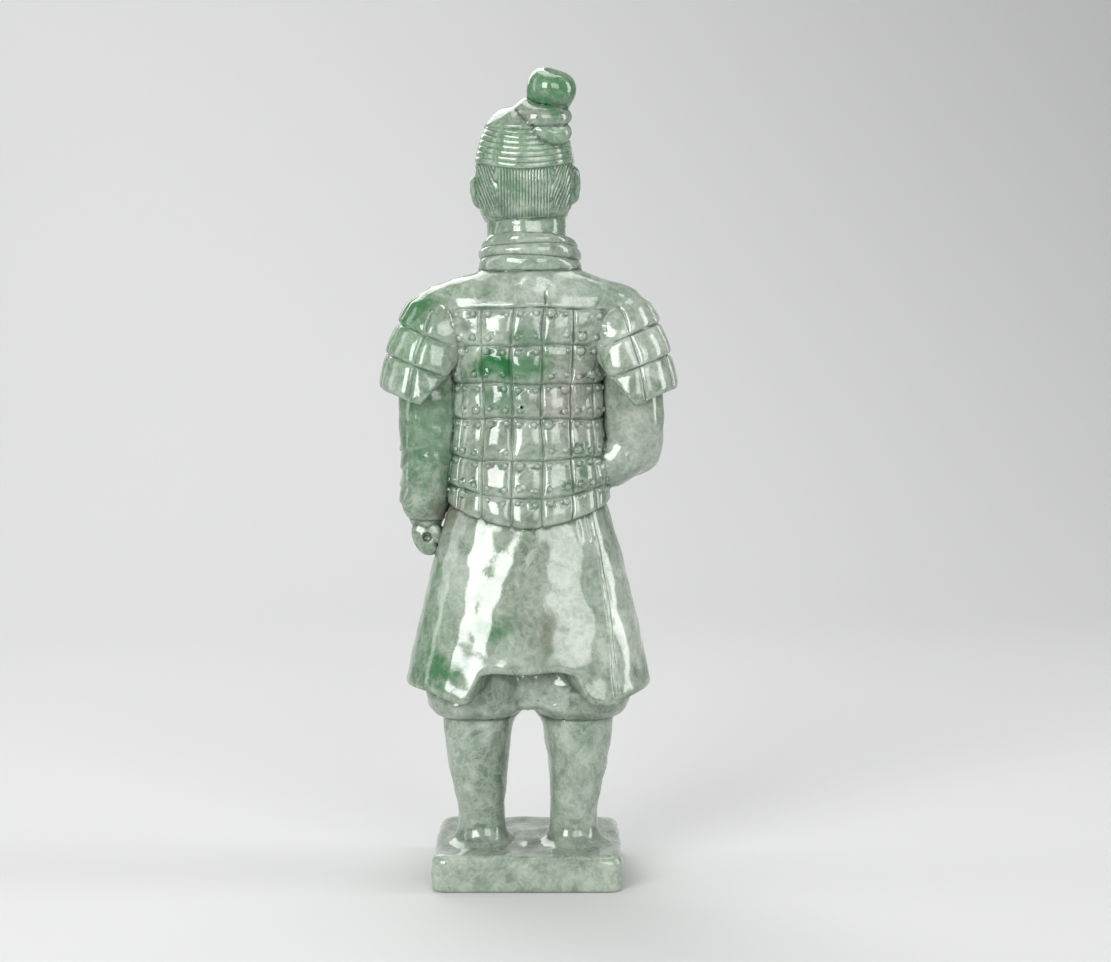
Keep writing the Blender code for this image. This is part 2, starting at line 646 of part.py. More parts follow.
def head_angles():
    """More columns in front for the face, and behind for the combed hair."""
    front = np.radians(-90 + np.array([-56, -42, -31, -22, -14, -7]))
    front = np.concatenate([front, [-np.pi / 2], -np.pi - front[::-1]])
    flute = np.radians(104) / STRANDS_BEHIND
    behind = np.pi / 2 + flute / 2 * np.arange(-STRANDS_BEHIND, STRANDS_BEHIND + 1)
    sides = np.radians([-12, 6, 24, 156, 174, 192])
    return np.sort(np.concatenate([front, behind, sides]) % (2 * np.pi)), flute


def hairline(back):
    """Height of the hair's edge: back is 1 at the nape, 0 beside the ears and -1 at the forehead."""
    return np.interp(back, [-1, -0.75, -0.45, -0.2, 0.1, 0.45, 1], [
        FRONT_HAIRLINE, FRONT_HAIRLINE, 171.5, 164.2, 160.2, NAPE_HAIRLINE + 1.2, NAPE_HAIRLINE])


def head():
    """Skull, face and the hair: combed down behind, bound in flat braids above, with a flap over the crown."""
    angles, flute = head_angles()
    back = np.sin(angles)[None, :]
    bands = BRAID_LOW_BACK + BRAID_PITCH / 2 * np.arange(2 * BRAIDS + 1)
    levels = [150.9, 152.7, NAPE_HAIRLINE - 0.15, NAPE_HAIRLINE + 0.3, MOUTH_LINE - 1.8, MOUTH_LINE - 0.7]
    levels += [MOUTH_LINE, MOUTH_LINE + 0.8, NOSE_BASE - 0.4, NOSE_BASE + 0.5, 163.6, 165.4]
    levels = np.concatenate([levels, bands, [176.35, 178.0, 179.7, 180.9]])[:, None]
    braid_rise = (BRAID_LOW_SIDE - BRAID_LOW_BACK) * (1 - np.clip(back, 0, 1) ** 2)
    lifted = eased(161, 166, levels) * (1 - eased(173, 179, levels))
    heights = levels + braid_rise * lifted
    a, b, cy, n = through(HEAD, heights)
    x, y = oval(angles[None, :], a, b, n)
    rings = np.stack([x + HEAD_LEFT, y + cy, heights], axis=2)

    hair = eased(-0.25, 0.25, heights - hairline(back))
    turns = (angles[None, :] - np.pi / 2) / flute
    combed = STRAND_DEPTH * (np.abs(2 * (turns % 1) - 1) - 0.5) * (back > 0.55)
    combed = combed * (levels > NAPE_HAIRLINE) * (levels < BRAID_LOW_BACK - 0.1)
    band = (levels - BRAID_LOW_BACK) / BRAID_PITCH
    bound = BRAID_DEPTH * (np.abs(np.sin(np.pi * band)) - 0.6) * (band > -0.01) * (band < BRAIDS + 0.01)
    flap = FLAP_LIFT * (levels > bands[-1] + 0.1)
    rings = raised(rings, (HAIR_LIFT + flap) * hair + combed + bound * hair)
    forward = eased(0.25, 0.8, -back) * (1 - hair)
    rings[..., 1] -= face_relief(rings[..., 0] - HEAD_LEFT, heights) * forward
    return closed_skin("head", rings, (HEAD_LEFT, -2.6, 149.9), (HEAD_LEFT, 2.0, HEAD_TOP))


def ear(side):
    """A simple long-lobed ear set against the side of the head."""
    middle, half = EARS[side]
    profile = [(-0.96, 0.5, 0.5), (-0.8, 1.0, 1.4), (-0.32, 1.4, 2.2), (0.42, 1.6, 2.8), (0.85, 1.1, 1.9), (1.0, 0.5, 0.7)]
    profile = np.array(profile) * [half, 1, 1]
    axis = (side * 0.06, 0.12, 1)
    return closed_skin("ear", turned((HEAD_LEFT + side * 11.5, 0.9, middle), axis, (1, 0, 0), profile, 8))


def topknot():
    """A rounded knot on two thick coils of hair, right of the crown and leaning back."""
    low = [(-2.4, 2.6, 2.6), (-1.6, 4.4, 4.2), (0, 5.2, 4.8), (1.6, 4.8, 4.4), (2.6, 3.0, 3.0)]
    high = [(-3.3, 3.8, 3.6), (-2.3, 6.0, 5.5), (-0.3, 7.2, 6.6), (1.7, 6.8, 6.2), (3.1, 5.0, 4.8)]
    ball = [(-4.9, 2.7, 2.7), (-3.7, 4.5, 4.4), (-1.2, 5.9, 5.7), (1.6, 6.1, 5.9), (3.9, 4.9, 4.8), (4.75, 3.4, 3.3)]
    coil = closed_skin("coil_low", turned((-5.4, 9.2, 175.6), (-0.12, 0.55, 1), (1, 0, 0), low, 12))
    upper = closed_skin("coil_high", turned((-3.7, 6.9, 179.5), (-0.08, 0.42, 1), (1, 0, 0), high, 14))
    knot = closed_skin("knot", turned((-5.8, 6.3, 185.45), (-0.3, 0.38, 1), (1, 0, 0), ball, 14, 2.1))
    return coil, upper, knot


def plinth():
    """The slab, with round corners and softened edges. It is placed in metres, under the soles."""
    mesh = bmesh.new()
    bmesh.ops.create_cube(mesh, size=1.0)
    bmesh.ops.scale(mesh, vec=(PLINTH_WIDTH, PLINTH_DEPTH, PLINTH_HEIGHT), verts=mesh.verts)
    bmesh.ops.translate(mesh, vec=(0, 0, PLINTH_HEIGHT / 2), verts=mesh.verts)

    def edges_where(test):
        return [e for e in mesh.edges if test(*(v.co for v in e.verts))]

    tiny = PLINTH_HEIGHT / 100
    uprights = edges_where(lambda p, q: abs(p.z - q.z) > tiny)
    bmesh.ops.bevel(mesh, geom=uprights, offset=PLINTH_CORNER, segments=4, profile=0.5, affect="EDGES")
    brim = edges_where(lambda p, q: min(p.z, q.z) > PLINTH_HEIGHT - tiny)
    bmesh.ops.bevel(mesh, geom=brim, offset=PLINTH_EDGE, segments=3, profile=0.5, affect="EDGES")
    foot = edges_where(lambda p, q: max(p.z, q.z) < tiny)
    bmesh.ops.bevel(mesh, geom=foot, offset=PLINTH_FOOT, segments=1, profile=0.5, affect="EDGES")
    data = bpy.data.meshes.new("jadeite_soldier")
    mesh.to_mesh(data)
    mesh.free()
    return bpy.data.objects.new("jadeite_soldier", data)


def jadeite():
    material = bpy.data.materials.new("jadeite")
    material.use_nodes = True
    shader = material.node_tree.nodes["Principled BSDF"]
    shader.inputs["Base Color"].default_value = JADE_GREEN
    shader.inputs["Roughness"].default_value = 0.12
    shader.inputs["Metallic"].default_value = 0.0
    return material


def figure_forms():
    """Every form of the figure, each a closed skin that runs some way into its neighbours."""
    forms = [trunk(), skirt(), seat(), arm_left(), arm_right(), wrist_left(), wrist_right()]
    forms += [collar(), neck(), head(), *topknot()]
    for side in (LEFT, RIGHT):
        forms += [trousers(side), leg(side), shoe(side), guard(side), ear(side)]
    forms.append(fist("fist_left", FIST_LEFT, (0, 1, 0), (1, 0, -0.5)))
    forms.append(fist("fist_right", FIST_RIGHT, (0, 0, 1), (1, 0, 0)))
    forms.append(thumb((24.6, -4.6, 76.6), (0.2, 0.3, -1), (1, 0, 0)))
    forms.append(thumb((-13.2, -21.6, 103.4), (0.6, -0.7, -0.25), (0, 0, 1)))
    return forms


def main():
    for obj in list(bpy.data.objects):
        bpy.data.objects.remove(obj)
    stone = plinth()
    stone.data.materials.append(jadeite())
    bpy.context.scene.collection.objects.link(stone)

    carving = bpy.data.collections.new("carving")
    bpy.context.scene.collection.children.link(carving)
    for form in figure_forms():
        carving.objects.link(form)
        form.hide_render = True
        form.display_type = "WIRE"
    union = stone.modifiers.new("one_stone", "BOOLEAN")
    union.operation = "UNION"
    union.operand_type = "COLLECTION"
    union.collection = carving


if __name__ == "__main__":
    main()
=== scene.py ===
"""A soldier in plate armour, carved with its plinth from one block of jadeite and polished.

The soldier faces -Y and stands up along +Z. Each form of the body is worked out as a closed skin over a
grid of points, the skins are united into one stone, and the stone's creases are then polished soft.
"""

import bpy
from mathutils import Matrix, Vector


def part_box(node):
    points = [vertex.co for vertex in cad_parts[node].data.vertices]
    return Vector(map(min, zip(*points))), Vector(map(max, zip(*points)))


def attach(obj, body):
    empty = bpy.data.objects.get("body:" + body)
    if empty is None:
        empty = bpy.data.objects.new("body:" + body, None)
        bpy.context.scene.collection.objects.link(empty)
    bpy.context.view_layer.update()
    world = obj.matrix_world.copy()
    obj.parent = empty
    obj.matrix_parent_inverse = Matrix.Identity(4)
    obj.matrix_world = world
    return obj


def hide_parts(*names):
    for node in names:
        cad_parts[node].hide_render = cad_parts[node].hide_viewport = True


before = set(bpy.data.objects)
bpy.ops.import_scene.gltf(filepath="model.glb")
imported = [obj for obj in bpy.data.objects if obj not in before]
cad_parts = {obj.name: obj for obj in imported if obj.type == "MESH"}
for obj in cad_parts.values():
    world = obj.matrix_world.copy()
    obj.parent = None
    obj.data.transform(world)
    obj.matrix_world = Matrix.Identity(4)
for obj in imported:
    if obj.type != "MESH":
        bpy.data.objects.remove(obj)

from types import SimpleNamespace

import bpy
import numpy as np
from bpy.props import FloatProperty, FloatVectorProperty, PointerProperty
from mathutils import Vector

bl_info = {
    "name": "Jadeite soldier",
    "version": (1, 0, 0),
    "blender": (4, 5, 0),
    "location": "3D View > Sidebar > Soldier",
    "description": "Carves and polishes a jadeite soldier and sets it in a small studio",
    "category": "Object",
}

NODE = "jadeite_soldier"
CAD_LOW, CAD_HIGH = (np.array(corner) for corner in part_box(NODE))

# Heights are in millimetres above the soles, and a figure of this height is carved at full size
DRAWN_HEIGHT = 191.2
PLINTH_HEIGHT = 8.8
FIGURE_SCALE = ((CAD_HIGH[2] - CAD_LOW[2]) * 1000 - PLINTH_HEIGHT) / DRAWN_HEIGHT
PLINTH_HALF_WIDTH = 23.2
PLINTH_HALF_DEPTH = 23.1
PLINTH_CORNER = 3.6
PLINTH_EDGE = 2.1
PLINTH_FOOT = 0.8

LEFT, RIGHT = 1, -1

# Armour of the trunk
ROW_HEIGHTS = (7.5, 9.1, 10.2, 8.6, 9.3, 8.9)
RIM_BOTTOM = 78.9
RIM_RISE = 6.0
PLATES_AROUND = 16
PLATE_ARC = 7.2
UPRIGHTS_HALF_WIDTH = 18.9  # the trunk's half width that spaces the upright lines
SHOULDERS_RIGHT = 0.7

# Shoulder guards: heights of the top, the two row lines and the rim, outside and behind
GUARD_OUTSIDE = (138.1, 129.2, 121.6, 112.8)
GUARD_BEHIND = (137.4, 123.4, 115.8, 108.6)
GUARD_ARMPIT = 13.6
GUARD_PLATES = 7
GUARD_INNER = 16.6
GUARD_INNER_TOP = 11.5
GUARD_PROUD = 0.5

# Head
HEAD_LEFT = 0.7
HEAD_TOP = 181.6
CHIN = 153.6
EYE_LINE = 165.9
NOSE_BASE = 161.0
MOUTH_LINE = 158.4
BROW = 168.2
FRONT_HAIRLINE = 174.5
NAPE_HAIRLINE = 154.4
BAND_LOW_BACK = 166.1
BAND_LOW_SIDE = 168.6
BAND_PITCH = 1.36
BANDS = 7
COMBED_STRAIGHT = 5.8  # how far to each side the hair behind is combed straight down
FLAP_LIFT = 0.85  # how far the hair over the crown stands out over the bands
COIL_THICKENING = 0.035  # share by which the upper coil grows thicker for each millimetre to the left
# The knot's two coils and its ball: distance along the axis, then the half sizes square to it
COIL_LOW = (
    (-2.8, 0.6, 0.6), (-2.4, 2.6, 2.6), (-1.6, 4.6, 4.2), (0, 5.6, 4.8), (1.6, 5.2, 4.4), (2.6, 3.0, 3.0),
)
COIL_HIGH = (
    (-3.4, 1.0, 1.0), (-3.2, 3.8, 3.6), (-2.3, 6.0, 5.5), (-0.3, 7.2, 6.6), (1.7, 6.8, 6.2), (3.0, 5.2, 5.0),
    (3.6, 1.2, 1.2),
)
KNOT_BALL = (
    (-5.3, 0.6, 0.6), (-4.9, 2.7, 2.7), (-3.7, 4.5, 4.4), (-1.5, 5.7, 5.5), (0.8, 6.1, 5.9), (2.8, 5.7, 5.5),
    (4.2, 4.7, 4.5), (4.75, 3.6, 3.5), (4.9, 1.8, 1.8), (4.95, 0.3, 0.3),
)

# Height, half width, half depth, centre y, squareness of the ring
TRUNK = (
    (76.7, 20.4, 15.1, 0.4, 2.3),
    (85.7, 19.8, 14.6, 0.3, 2.3),
    (95.7, 19.0, 13.9, 0.2, 2.3),
    (105.7, 18.5, 13.5, 0.2, 2.3),
    (114.7, 18.7, 13.6, 0.3, 2.3),
    (122.7, 20.2, 13.9, 0.4, 2.3),
    (128.6, 23.8, 13.8, 0.5, 2.2),
    (132.6, 27.1, 13.4, 0.6, 2.1),
    (135.3, 28.1, 12.8, 0.6, 2.1),
    (137.2, 26.1, 12.3, 0.6, 2.1),
    (139.2, 21.3, 11.9, 0.6, 2.1),
    (140.7, 16.2, 11.6, 0.5, 2.1),
    (142.1, 12.6, 11.0, 0.4, 2.1),
    (144.4, 11.0, 10.0, 0.4, 2.0),
)
SKIRT = (
    (34.2, 31.4, 22.4, 0.4, 2.6),
    (39.5, 30.4, 21.7, 0.4, 2.6),
    (49.1, 28.4, 20.3, 0.4, 2.6),
    (59.2, 26.1, 18.7, 0.4, 2.6),
    (69.3, 23.7, 16.9, 0.4, 2.5),
    (77.4, 21.4, 15.1, 0.4, 2.4),
    (85.7, 18.8, 13.2, 0.4, 2.3),
    (89.7, 17.0, 12.0, 0.4, 2.3),
)
# Angle round the skirt in degrees from the left side, and the height of its hem there
HEM = (
    (0, 39.3),
    (30, 39.4),
    (40, 39.2),
    (46, 38.8),
    (53, 37.7),
    (59, 36.7),
    (61.5, 36.6),
    (63.6, 37.6),
    (65.4, 40.4),
    (66.8, 42.5),
    (68.4, 43.5),
    (71, 43.8),
    (90, 43.8),
    (110.5, 43.8),
    (113, 43.2),
    (114.6, 41.4),
    (116.5, 38.6),
    (119, 36.8),
    (124, 36.2),
    (136, 37.5),
    (150, 38.8),
    (180, 39.3),
    (215, 37.8),
    (245, 36.8),
    (270, 36.6),
    (295, 36.8),
    (325, 37.8),
)
# Height, distance from the middle, half width, half depth, centre y
TROUSERS = (
    (31.0, 12.4, 7.8, 8.6, 1.8),
    (31.6, 12.5, 9.8, 10.2, 1.8),
    (32.8, 12.6, 11.5, 11.8, 1.8),
    (34.4, 12.6, 12.5, 12.8, 1.7),
    (36.8, 12.6, 12.9, 13.2, 1.5),
    (42.3, 12.1, 12.5, 13.3, 1.2),
    (48.4, 11.0, 11.4, 12.0, 0.8),
)
SEAT = (
    (33.1, 4.6, 6.6, 1.6, 2.1),
    (33.9, 6.6, 8.2, 1.6, 2.1),
    (36.0, 7.6, 9.0, 1.5, 2.1),
    (46.0, 8.0, 9.6, 1.0, 2.1),
)
LEG = (
    (2.5, 11.4, 6.0, 7.0, 4.6),
    (8.7, 11.6, 5.9, 6.9, 4.4),
    (13.8, 12.0, 6.6, 7.6, 4.0),
    (18.9, 12.4, 7.4, 8.5, 3.6),
    (25.0, 12.5, 8.2, 9.2, 3.0),
    (30.4, 12.4, 8.8, 9.6, 2.4),
    (35.2, 12.3, 9.1, 9.8, 2.0),
)
ANKLE_SPREAD = 4.2
# The sleeve's low underside at the bent elbow: its middle, the slope it hangs along, and its half sizes
# along the slope, in depth and square to both
SLEEVE_DRAPE = (-22.9, -0.5, 95.8)
SLEEVE_DRAPE_SLOPE = (0.8, 0, -0.6)
SLEEVE_DRAPE_HALF = (9.75, 7.2, 6.5)
CROTCH_TOP = 32.9  # height of the arch between the legs
CROTCH_ARCH = 4.3  # its radius
ARM_LEFT = (
    (80.0, 25.2, 4.2, 4.9, -0.4),
    (81.3, 25.6, 4.9, 5.9, -0.3),
    (83.7, 25.7, 6.0, 6.8, -0.1),
    (89.9, 24.9, 6.9, 7.5, 0.1),
    (99.9, 24.4, 7.5, 8.0, 0.2),
    (109.9, 24.3, 7.9, 8.3, 0.1),
    (118.7, 24.1, 7.8, 8.0, 0.0),
    (126.6, 23.4, 7.0, 7.2, 0.0),
)
WRIST_LEFT = (
    (76, 25.3, 3.3, 4.0, -0.4),
    (78.6, 25.4, 3.5, 4.3, -0.4),
    (79.6, 25.5, 4.0, 4.7, -0.4),
    (83, 25.5, 3.9, 4.6, -0.4),
)
# Centre line of the bent right arm, x outwards, y, z, then its half sizes across and in the bend's plane
ARM_RIGHT = (
    (24.3, 0.0, 126.6, 6.0, 7.2),
    (25.4, 0.3, 118.7, 7.1, 8.0),
    (26.1, 0.6, 110.7, 7.5, 8.3),
    (26.3, 0.3, 104.0, 7.6, 8.2),
    (25.9, -3.7, 99.0, 7.6, 7.8),
    (22.8, -9.4, 97.0, 6.9, 7.0),
    (19.8, -14.6, 96.2, 5.9, 6.3),
    (17.2, -18.0, 97.0, 4.6, 5.0),
)
FIST_LEFT = (25.0, -0.4, 75.9)
FIST_RIGHT = (-14.6, -21.0, 98.6)
FIST_HALF = (4.0, 4.7)
FIST_LENGTH = 9.0
FINGERS = 4
GRIP_BORE = 1.2
GRIP_DEPTH = 1.6
COLLAR = (
    (140.1, 12.5, 11.6, 0.4),
    (142.5, 12.4, 11.6, 0.4),
    (145.4, 12.3, 11.4, 0.4),
    (148.4, 11.5, 10.7, 0.4),
    (150.1, 10.6, 9.9, 0.4),
)
COLLAR_FOLDS = (140.8, 144.5, 147.5, 150.1)
COLLAR_LEFT = -0.5
COLLAR_TILT = 0.09
NECK_LEFT = 0.3
NECK = (
    (137.5, 10.4, 9.6, 0.4, 2.0),
    (149.4, 10.0, 9.5, 0.6, 2.0),
    (152.3, 9.8, 9.6, 0.6, 2.0),
    (158.2, 9.6, 9.4, 0.4, 2.0),
)
HEAD = (
    (150.9, 5.4, 5.8, -2.6, 2.0),
    (152.3, 7.6, 8.6, -2.2, 2.1),
    (153.9, 9.4, 10.6, -1.4, 2.2),
    (155.7, 10.6, 11.7, -0.4, 2.2),
    (159.2, 11.6, 12.5, 0.0, 2.2),
    (163.1, 11.9, 12.8, 0.2, 2.2),
    (167.1, 11.8, 12.8, 0.4, 2.2),
    (171.0, 11.3, 12.5, 0.6, 2.2),
    (174.9, 10.1, 11.4, 0.9, 2.2),
    (177.8, 8.3, 9.6, 1.3, 2.1),
    (179.9, 6.0, 7.2, 1.7, 2.0),
    (181.3, 3.2, 4.0, 2.0, 2.0),
)
SHOE = (
    # y, half width, height of the instep, squareness
    (8.5, 3.0, 2.0, 2.4),
    (6.0, 4.0, 4.0, 2.4),
    (1.0, 4.4, 6.6, 2.4),
    (-4.0, 4.9, 6.0, 2.5),
    (-10.0, 5.2, 4.4, 2.7),
    (-15.0, 5.3, 3.9, 3.0),
    (-17.6, 5.0, 4.4, 3.2),
    (-18.6, 4.0, 3.4, 3.0),
)

MOST_TRIANGLES = 200000
LONG_SOFTNESS = 3.6  # a form softer than this sets the reach of its seams alone, by half its softness
# The line along a seam is painted shade
SEAM_SHADE_DARKNESS = 0.55  # how dark the line along a seam is, as a share of the deepest cut

# The camera stands behind the figure: its place in metres, degrees it looks down, sensor and lens
CAMERA_PLACE = (-0.0069, 0.517, 0.1285)
CAMERA_PITCH = 3.32
CAMERA_SENSOR = 36.0
CAMERA_LENS = 67.07

# Samples across a plate or a row, as shares of it: close together at the cut lines on its two edges
PLATE_SHARES = (0, 0.03, 0.06, 0.1, 0.16, 0.28, 0.5, 0.72, 0.84, 0.9, 0.94, 0.97)
ROW_SHARES = (0, 0.02, 0.045, 0.075, 0.115, 0.18, 0.28, 0.42, 0.58, 0.72, 0.82, 0.885, 0.925, 0.955, 0.98)


class CarvingSizes(bpy.types.PropertyGroup):
    """Depths and widths of the carving."""

    groove_depth: FloatProperty(
        name="Groove depth",
        description="Depth of the lines cut between the plates",
        default=0.00045,
        unit="LENGTH",
        precision=5,
    )
    groove_half: FloatProperty(
        name="Groove half width",
        description="Half the width of a cut line",
        default=0.00032,
        unit="LENGTH",
        precision=5,
    )
    plate_swell: FloatProperty(
        name="Plate swell",
        description="How far the middle of a plate stands out",
        default=0.0006,
        unit="LENGTH",
        precision=5,
    )
    shingle: FloatProperty(
        name="Row step",
        description="How far a row of plates stands out over the row below it",
        default=0.0004,
        unit="LENGTH",
        precision=5,
    )
    rivet_radius: FloatProperty(
        name="Rivet radius",
        description="Radius of the knobs at the corners of the plates",
        default=0.00074,
        unit="LENGTH",
        precision=5,
    )
    hair_pitch: FloatProperty(
        name="Hair line spacing",
        description="Distance between the combed lines behind the head",
        default=0.00072,
        unit="LENGTH",
        precision=5,
    )
    hair_depth: FloatProperty(
        name="Hair line depth",
        description="Depth of the combed lines",
        default=0.00013,
        unit="LENGTH",
        precision=5,
    )
    band_depth: FloatProperty(
        name="Hair band depth",
        description="Depth of the lines between the bands of hair wound round the head",
        default=0.00028,
        unit="LENGTH",
        precision=5,
    )
    unevenness: FloatProperty(
        name="Hand unevenness",
        description="Height of the slow waves that hand polishing leaves",
        default=0.00009,
        unit="LENGTH",
        precision=5,
    )


def colour_property(label, description, default):
    """A colour in the panel, as three linear values."""
    return FloatVectorProperty(
        name=label, description=description, default=default, subtype="COLOR", size=3, min=0.0, max=1.0
    )


class JadeColours(bpy.types.PropertyGroup):
    """Colours of the stone."""

    pale: colour_property("Pale green", "Ground colour of the stone", (0.235, 0.298, 0.222))
    mist: colour_property("Mist", "Cloudy whitish parts", (0.47, 0.52, 0.455))
    moss: colour_property("Grey green", "Darker clouds in the ground", (0.058, 0.108, 0.062))
    leaf: colour_property("Leaf green", "Green tone of the hair and other placed parts", (0.12, 0.26, 0.13))
    emerald: colour_property("Emerald", "Strong green of the placed patches", (0.018, 0.125, 0.038))
    lilac: colour_property("Lilac grey", "Greyish violet parts", (0.265, 0.255, 0.225))
    brown: colour_property("Brown", "Thin stains", (0.135, 0.115, 0.085))
    # Colour of the painted shade and dirt at the bottom of the cuts, and of the painted shade along lined
    # seams
    cut_shade_and_dirt: colour_property("Groove", "Tint at the bottom of the cuts", (0.026, 0.064, 0.034))


class StudioValues(bpy.types.PropertyGroup):
    """Floor and lights."""

    floor: colour_property("Floor", "Colour of the pale floor", (0.55, 0.555, 0.55))
    left_watts: FloatProperty(
        name="Left soft box",
        description="Power of the soft box left of the camera",
        default=11.0,
        unit="POWER",
    )
    right_watts: FloatProperty(
        name="Right soft box",
        description="Power of the soft box right of the camera",
        default=5.0,
        unit="POWER",
    )
    top_watts: FloatProperty(
        name="Top soft box", description="Power of the soft box overhead", default=5.0, unit="POWER"
    )
    side_watts: FloatProperty(
        name="Side soft boxes", description="Power of the strips at the sides", default=3.5, unit="POWER"
    )
    world: FloatProperty(
        name="World light", description="Strength of the even light from all round", default=0.11, min=0.0
    )


def through(keys, where):
    """Values of a smooth curve through the keys: cubic pieces whose slopes are the keys' own gradients."""
    keys = np.asarray(keys, float)
    at, values = keys[:, 0], keys[:, 1:]
    slopes = np.gradient(values, at, axis=0)
    where = np.clip(np.asarray(where, float), at[0], at[-1])
    i = np.clip(np.searchsorted(at, where, side="right") - 1, 0, len(at) - 2)
    span = at[i + 1] - at[i]
    f = ((where - at[i]) / span)[..., None]
    span = span[..., None]
    start = values[i] * (1 + 2 * f) * (1 - f) ** 2 + slopes[i] * span * f * (1 - f) ** 2
    end = values[i + 1] * f**2 * (3 - 2 * f) + slopes[i + 1] * span * f**2 * (f - 1)
    return np.moveaxis(start + end, -1, 0)


def eased(low, high, value):
    """0 below low, 1 above high, and three f squared less two f cubed between."""
    f = np.clip((value - low) / (high - low), 0, 1)
    return f * f * (3 - 2 * f)


def hump(value, half):
    """A bell: e to the power of minus the squared distance over the half width."""
    return np.exp(-((value / half) ** 2))


def between(lines, shares):
    """Positions in each gap between neighbouring lines, at every share of the gap."""
    lines = np.asarray(lines, float)
    return (lines[:-1, None] + np.diff(lines)[:, None] * np.asarray(shares)).ravel()


def oval(angle, half_x, half_y, squareness):
    """A point at an angle on |x/a| to the n plus |y/b| to the n equals 1."""
    c, s = np.cos(angle), np.sin(angle)
    swell = (np.abs(c) ** squareness + np.abs(s) ** squareness) ** (-1 / squareness)
    return half_x * c * swell, half_y * s * swell


def around(count):
    """Evenly spaced angles once round a ring."""
    return np.linspace(0, 2 * np.pi, count, endpoint=False)


def turned_back(angle):
    """The same angle between minus a half turn and a half turn."""
    return (angle + np.pi) % (2 * np.pi) - np.pi


def normals_of(rings):
    """Outward direction at each grid point: the step along the ring crossed with that to the next ring."""
    across = np.roll(rings, -1, axis=1) - np.roll(rings, 1, axis=1)
    along = np.gradient(rings, axis=0)
    n = np.cross(across, along)
    return n / np.maximum(np.linalg.norm(n, axis=2, keepdims=True), 1e-9)


def raised(rings, height):
    """The rings with each point moved along its outward direction by its height."""
    return rings + normals_of(rings) * np.broadcast_to(height, rings.shape[:2])[..., None]


def closed_skin(rings, first_pole=None, last_pole=None):
    """Points and triangles over a grid of rings, closed at both ends by a fan to a pole, facing outwards."""
    rows, columns, _ = rings.shape
    first = rings[0].mean(axis=0) if first_pole is None else np.array(first_pole, float)
    last = rings[-1].mean(axis=0) if last_pole is None else np.array(last_pole, float)
    points = np.concatenate([rings.reshape(-1, 3), [first, last]])
    index = np.arange(rows * columns).reshape(rows, columns)
    turn = np.roll(index, -1, axis=1)
    a, b, c, d = index[:-1], turn[:-1], turn[1:], index[1:]
    ends = [
        np.stack([np.full(columns, rows * columns), turn[0], index[0]], axis=1),
        np.stack([np.full(columns, rows * columns + 1), index[-1], turn[-1]], axis=1),
    ]
    sides = [np.stack([a, b, c], axis=-1).reshape(-1, 3), np.stack([a, c, d], axis=-1).reshape(-1, 3)]
    triangles = np.concatenate(sides + ends)
    p, q, r = (points[triangles[:, i]] for i in range(3))
    if np.einsum("ij,ij->i", p, np.cross(q, r)).sum() < 0:
        triangles = triangles[:, ::-1]
    return points, triangles


def stacked(keys, heights, angles, middle_x=0.0):
    """Level rings whose keys give half width, half depth, centre y and squareness by height."""
    a, b, cy, n = through(keys, heights)
    x, y = oval(angles, a, b, n)
    return np.stack([x + middle_x, y + cy, np.broadcast_to(heights, x.shape)], axis=2)


def limb(keys, heights, angles, side):
    """Level rings whose keys give distance from the middle, half width, half depth and centre y by height."""
    cx, a, b, cy = through(keys, np.broadcast_to(heights, (len(heights), angles.shape[-1])))
    x, y = oval(angles, a, b, 2.15)
    return np.stack([side * cx + x, y + cy, np.broadcast_to(heights, x.shape)], axis=2)


def tube(path, half_across, half_in_plane, angles, across, squareness=2.1):
    """Rings square to a path: path point plus u times the across direction plus v times the other one."""
    path = np.asarray(path, float)
    ahead = np.gradient(path, axis=0)
    ahead /= np.linalg.norm(ahead, axis=1, keepdims=True)
    across = np.asarray(across, float)
    e1 = across - ahead * (ahead @ across)[:, None]
    e1 /= np.linalg.norm(e1, axis=1, keepdims=True)
    e2 = np.cross(ahead, e1)
    half_across = np.asarray(half_across, float)[:, None]
    half_in_plane = np.asarray(half_in_plane, float)[:, None]
    u, v = oval(angles[None, :], half_across, half_in_plane, squareness)
    return path[:, None] + u[..., None] * e1[:, None] + v[..., None] * e2[:, None]


def turned(centre, axis, across, profile, sides, rows, squareness=2.0):
    """Rings along a short axis: a smooth curve through the profile's distances and both half sizes."""
    axis = np.asarray(axis, float) / np.linalg.norm(axis)
    profile = np.asarray(profile, float)
    steps = np.concatenate([[0], np.cumsum(np.linalg.norm(np.diff(profile, axis=0), axis=1))])
    keys = np.column_stack([steps / steps[-1], profile])
    along, half_u, half_v = through(keys, np.linspace(0, 1, rows))
    path = np.asarray(centre, float) + along[:, None] * axis
    ahead = np.broadcast_to(axis, path.shape)
    e1 = np.asarray(across, float) - axis * (axis @ np.asarray(across, float))
    e1 /= np.linalg.norm(e1)
    e2 = np.cross(ahead[0], e1)
    half_u, half_v = np.maximum(half_u, 0.05), np.maximum(half_v, 0.05)
    u, v = oval(around(sides)[None, :], half_u[:, None], half_v[:, None], squareness)
    return path[:, None] + u[..., None] * e1 + v[..., None] * e2


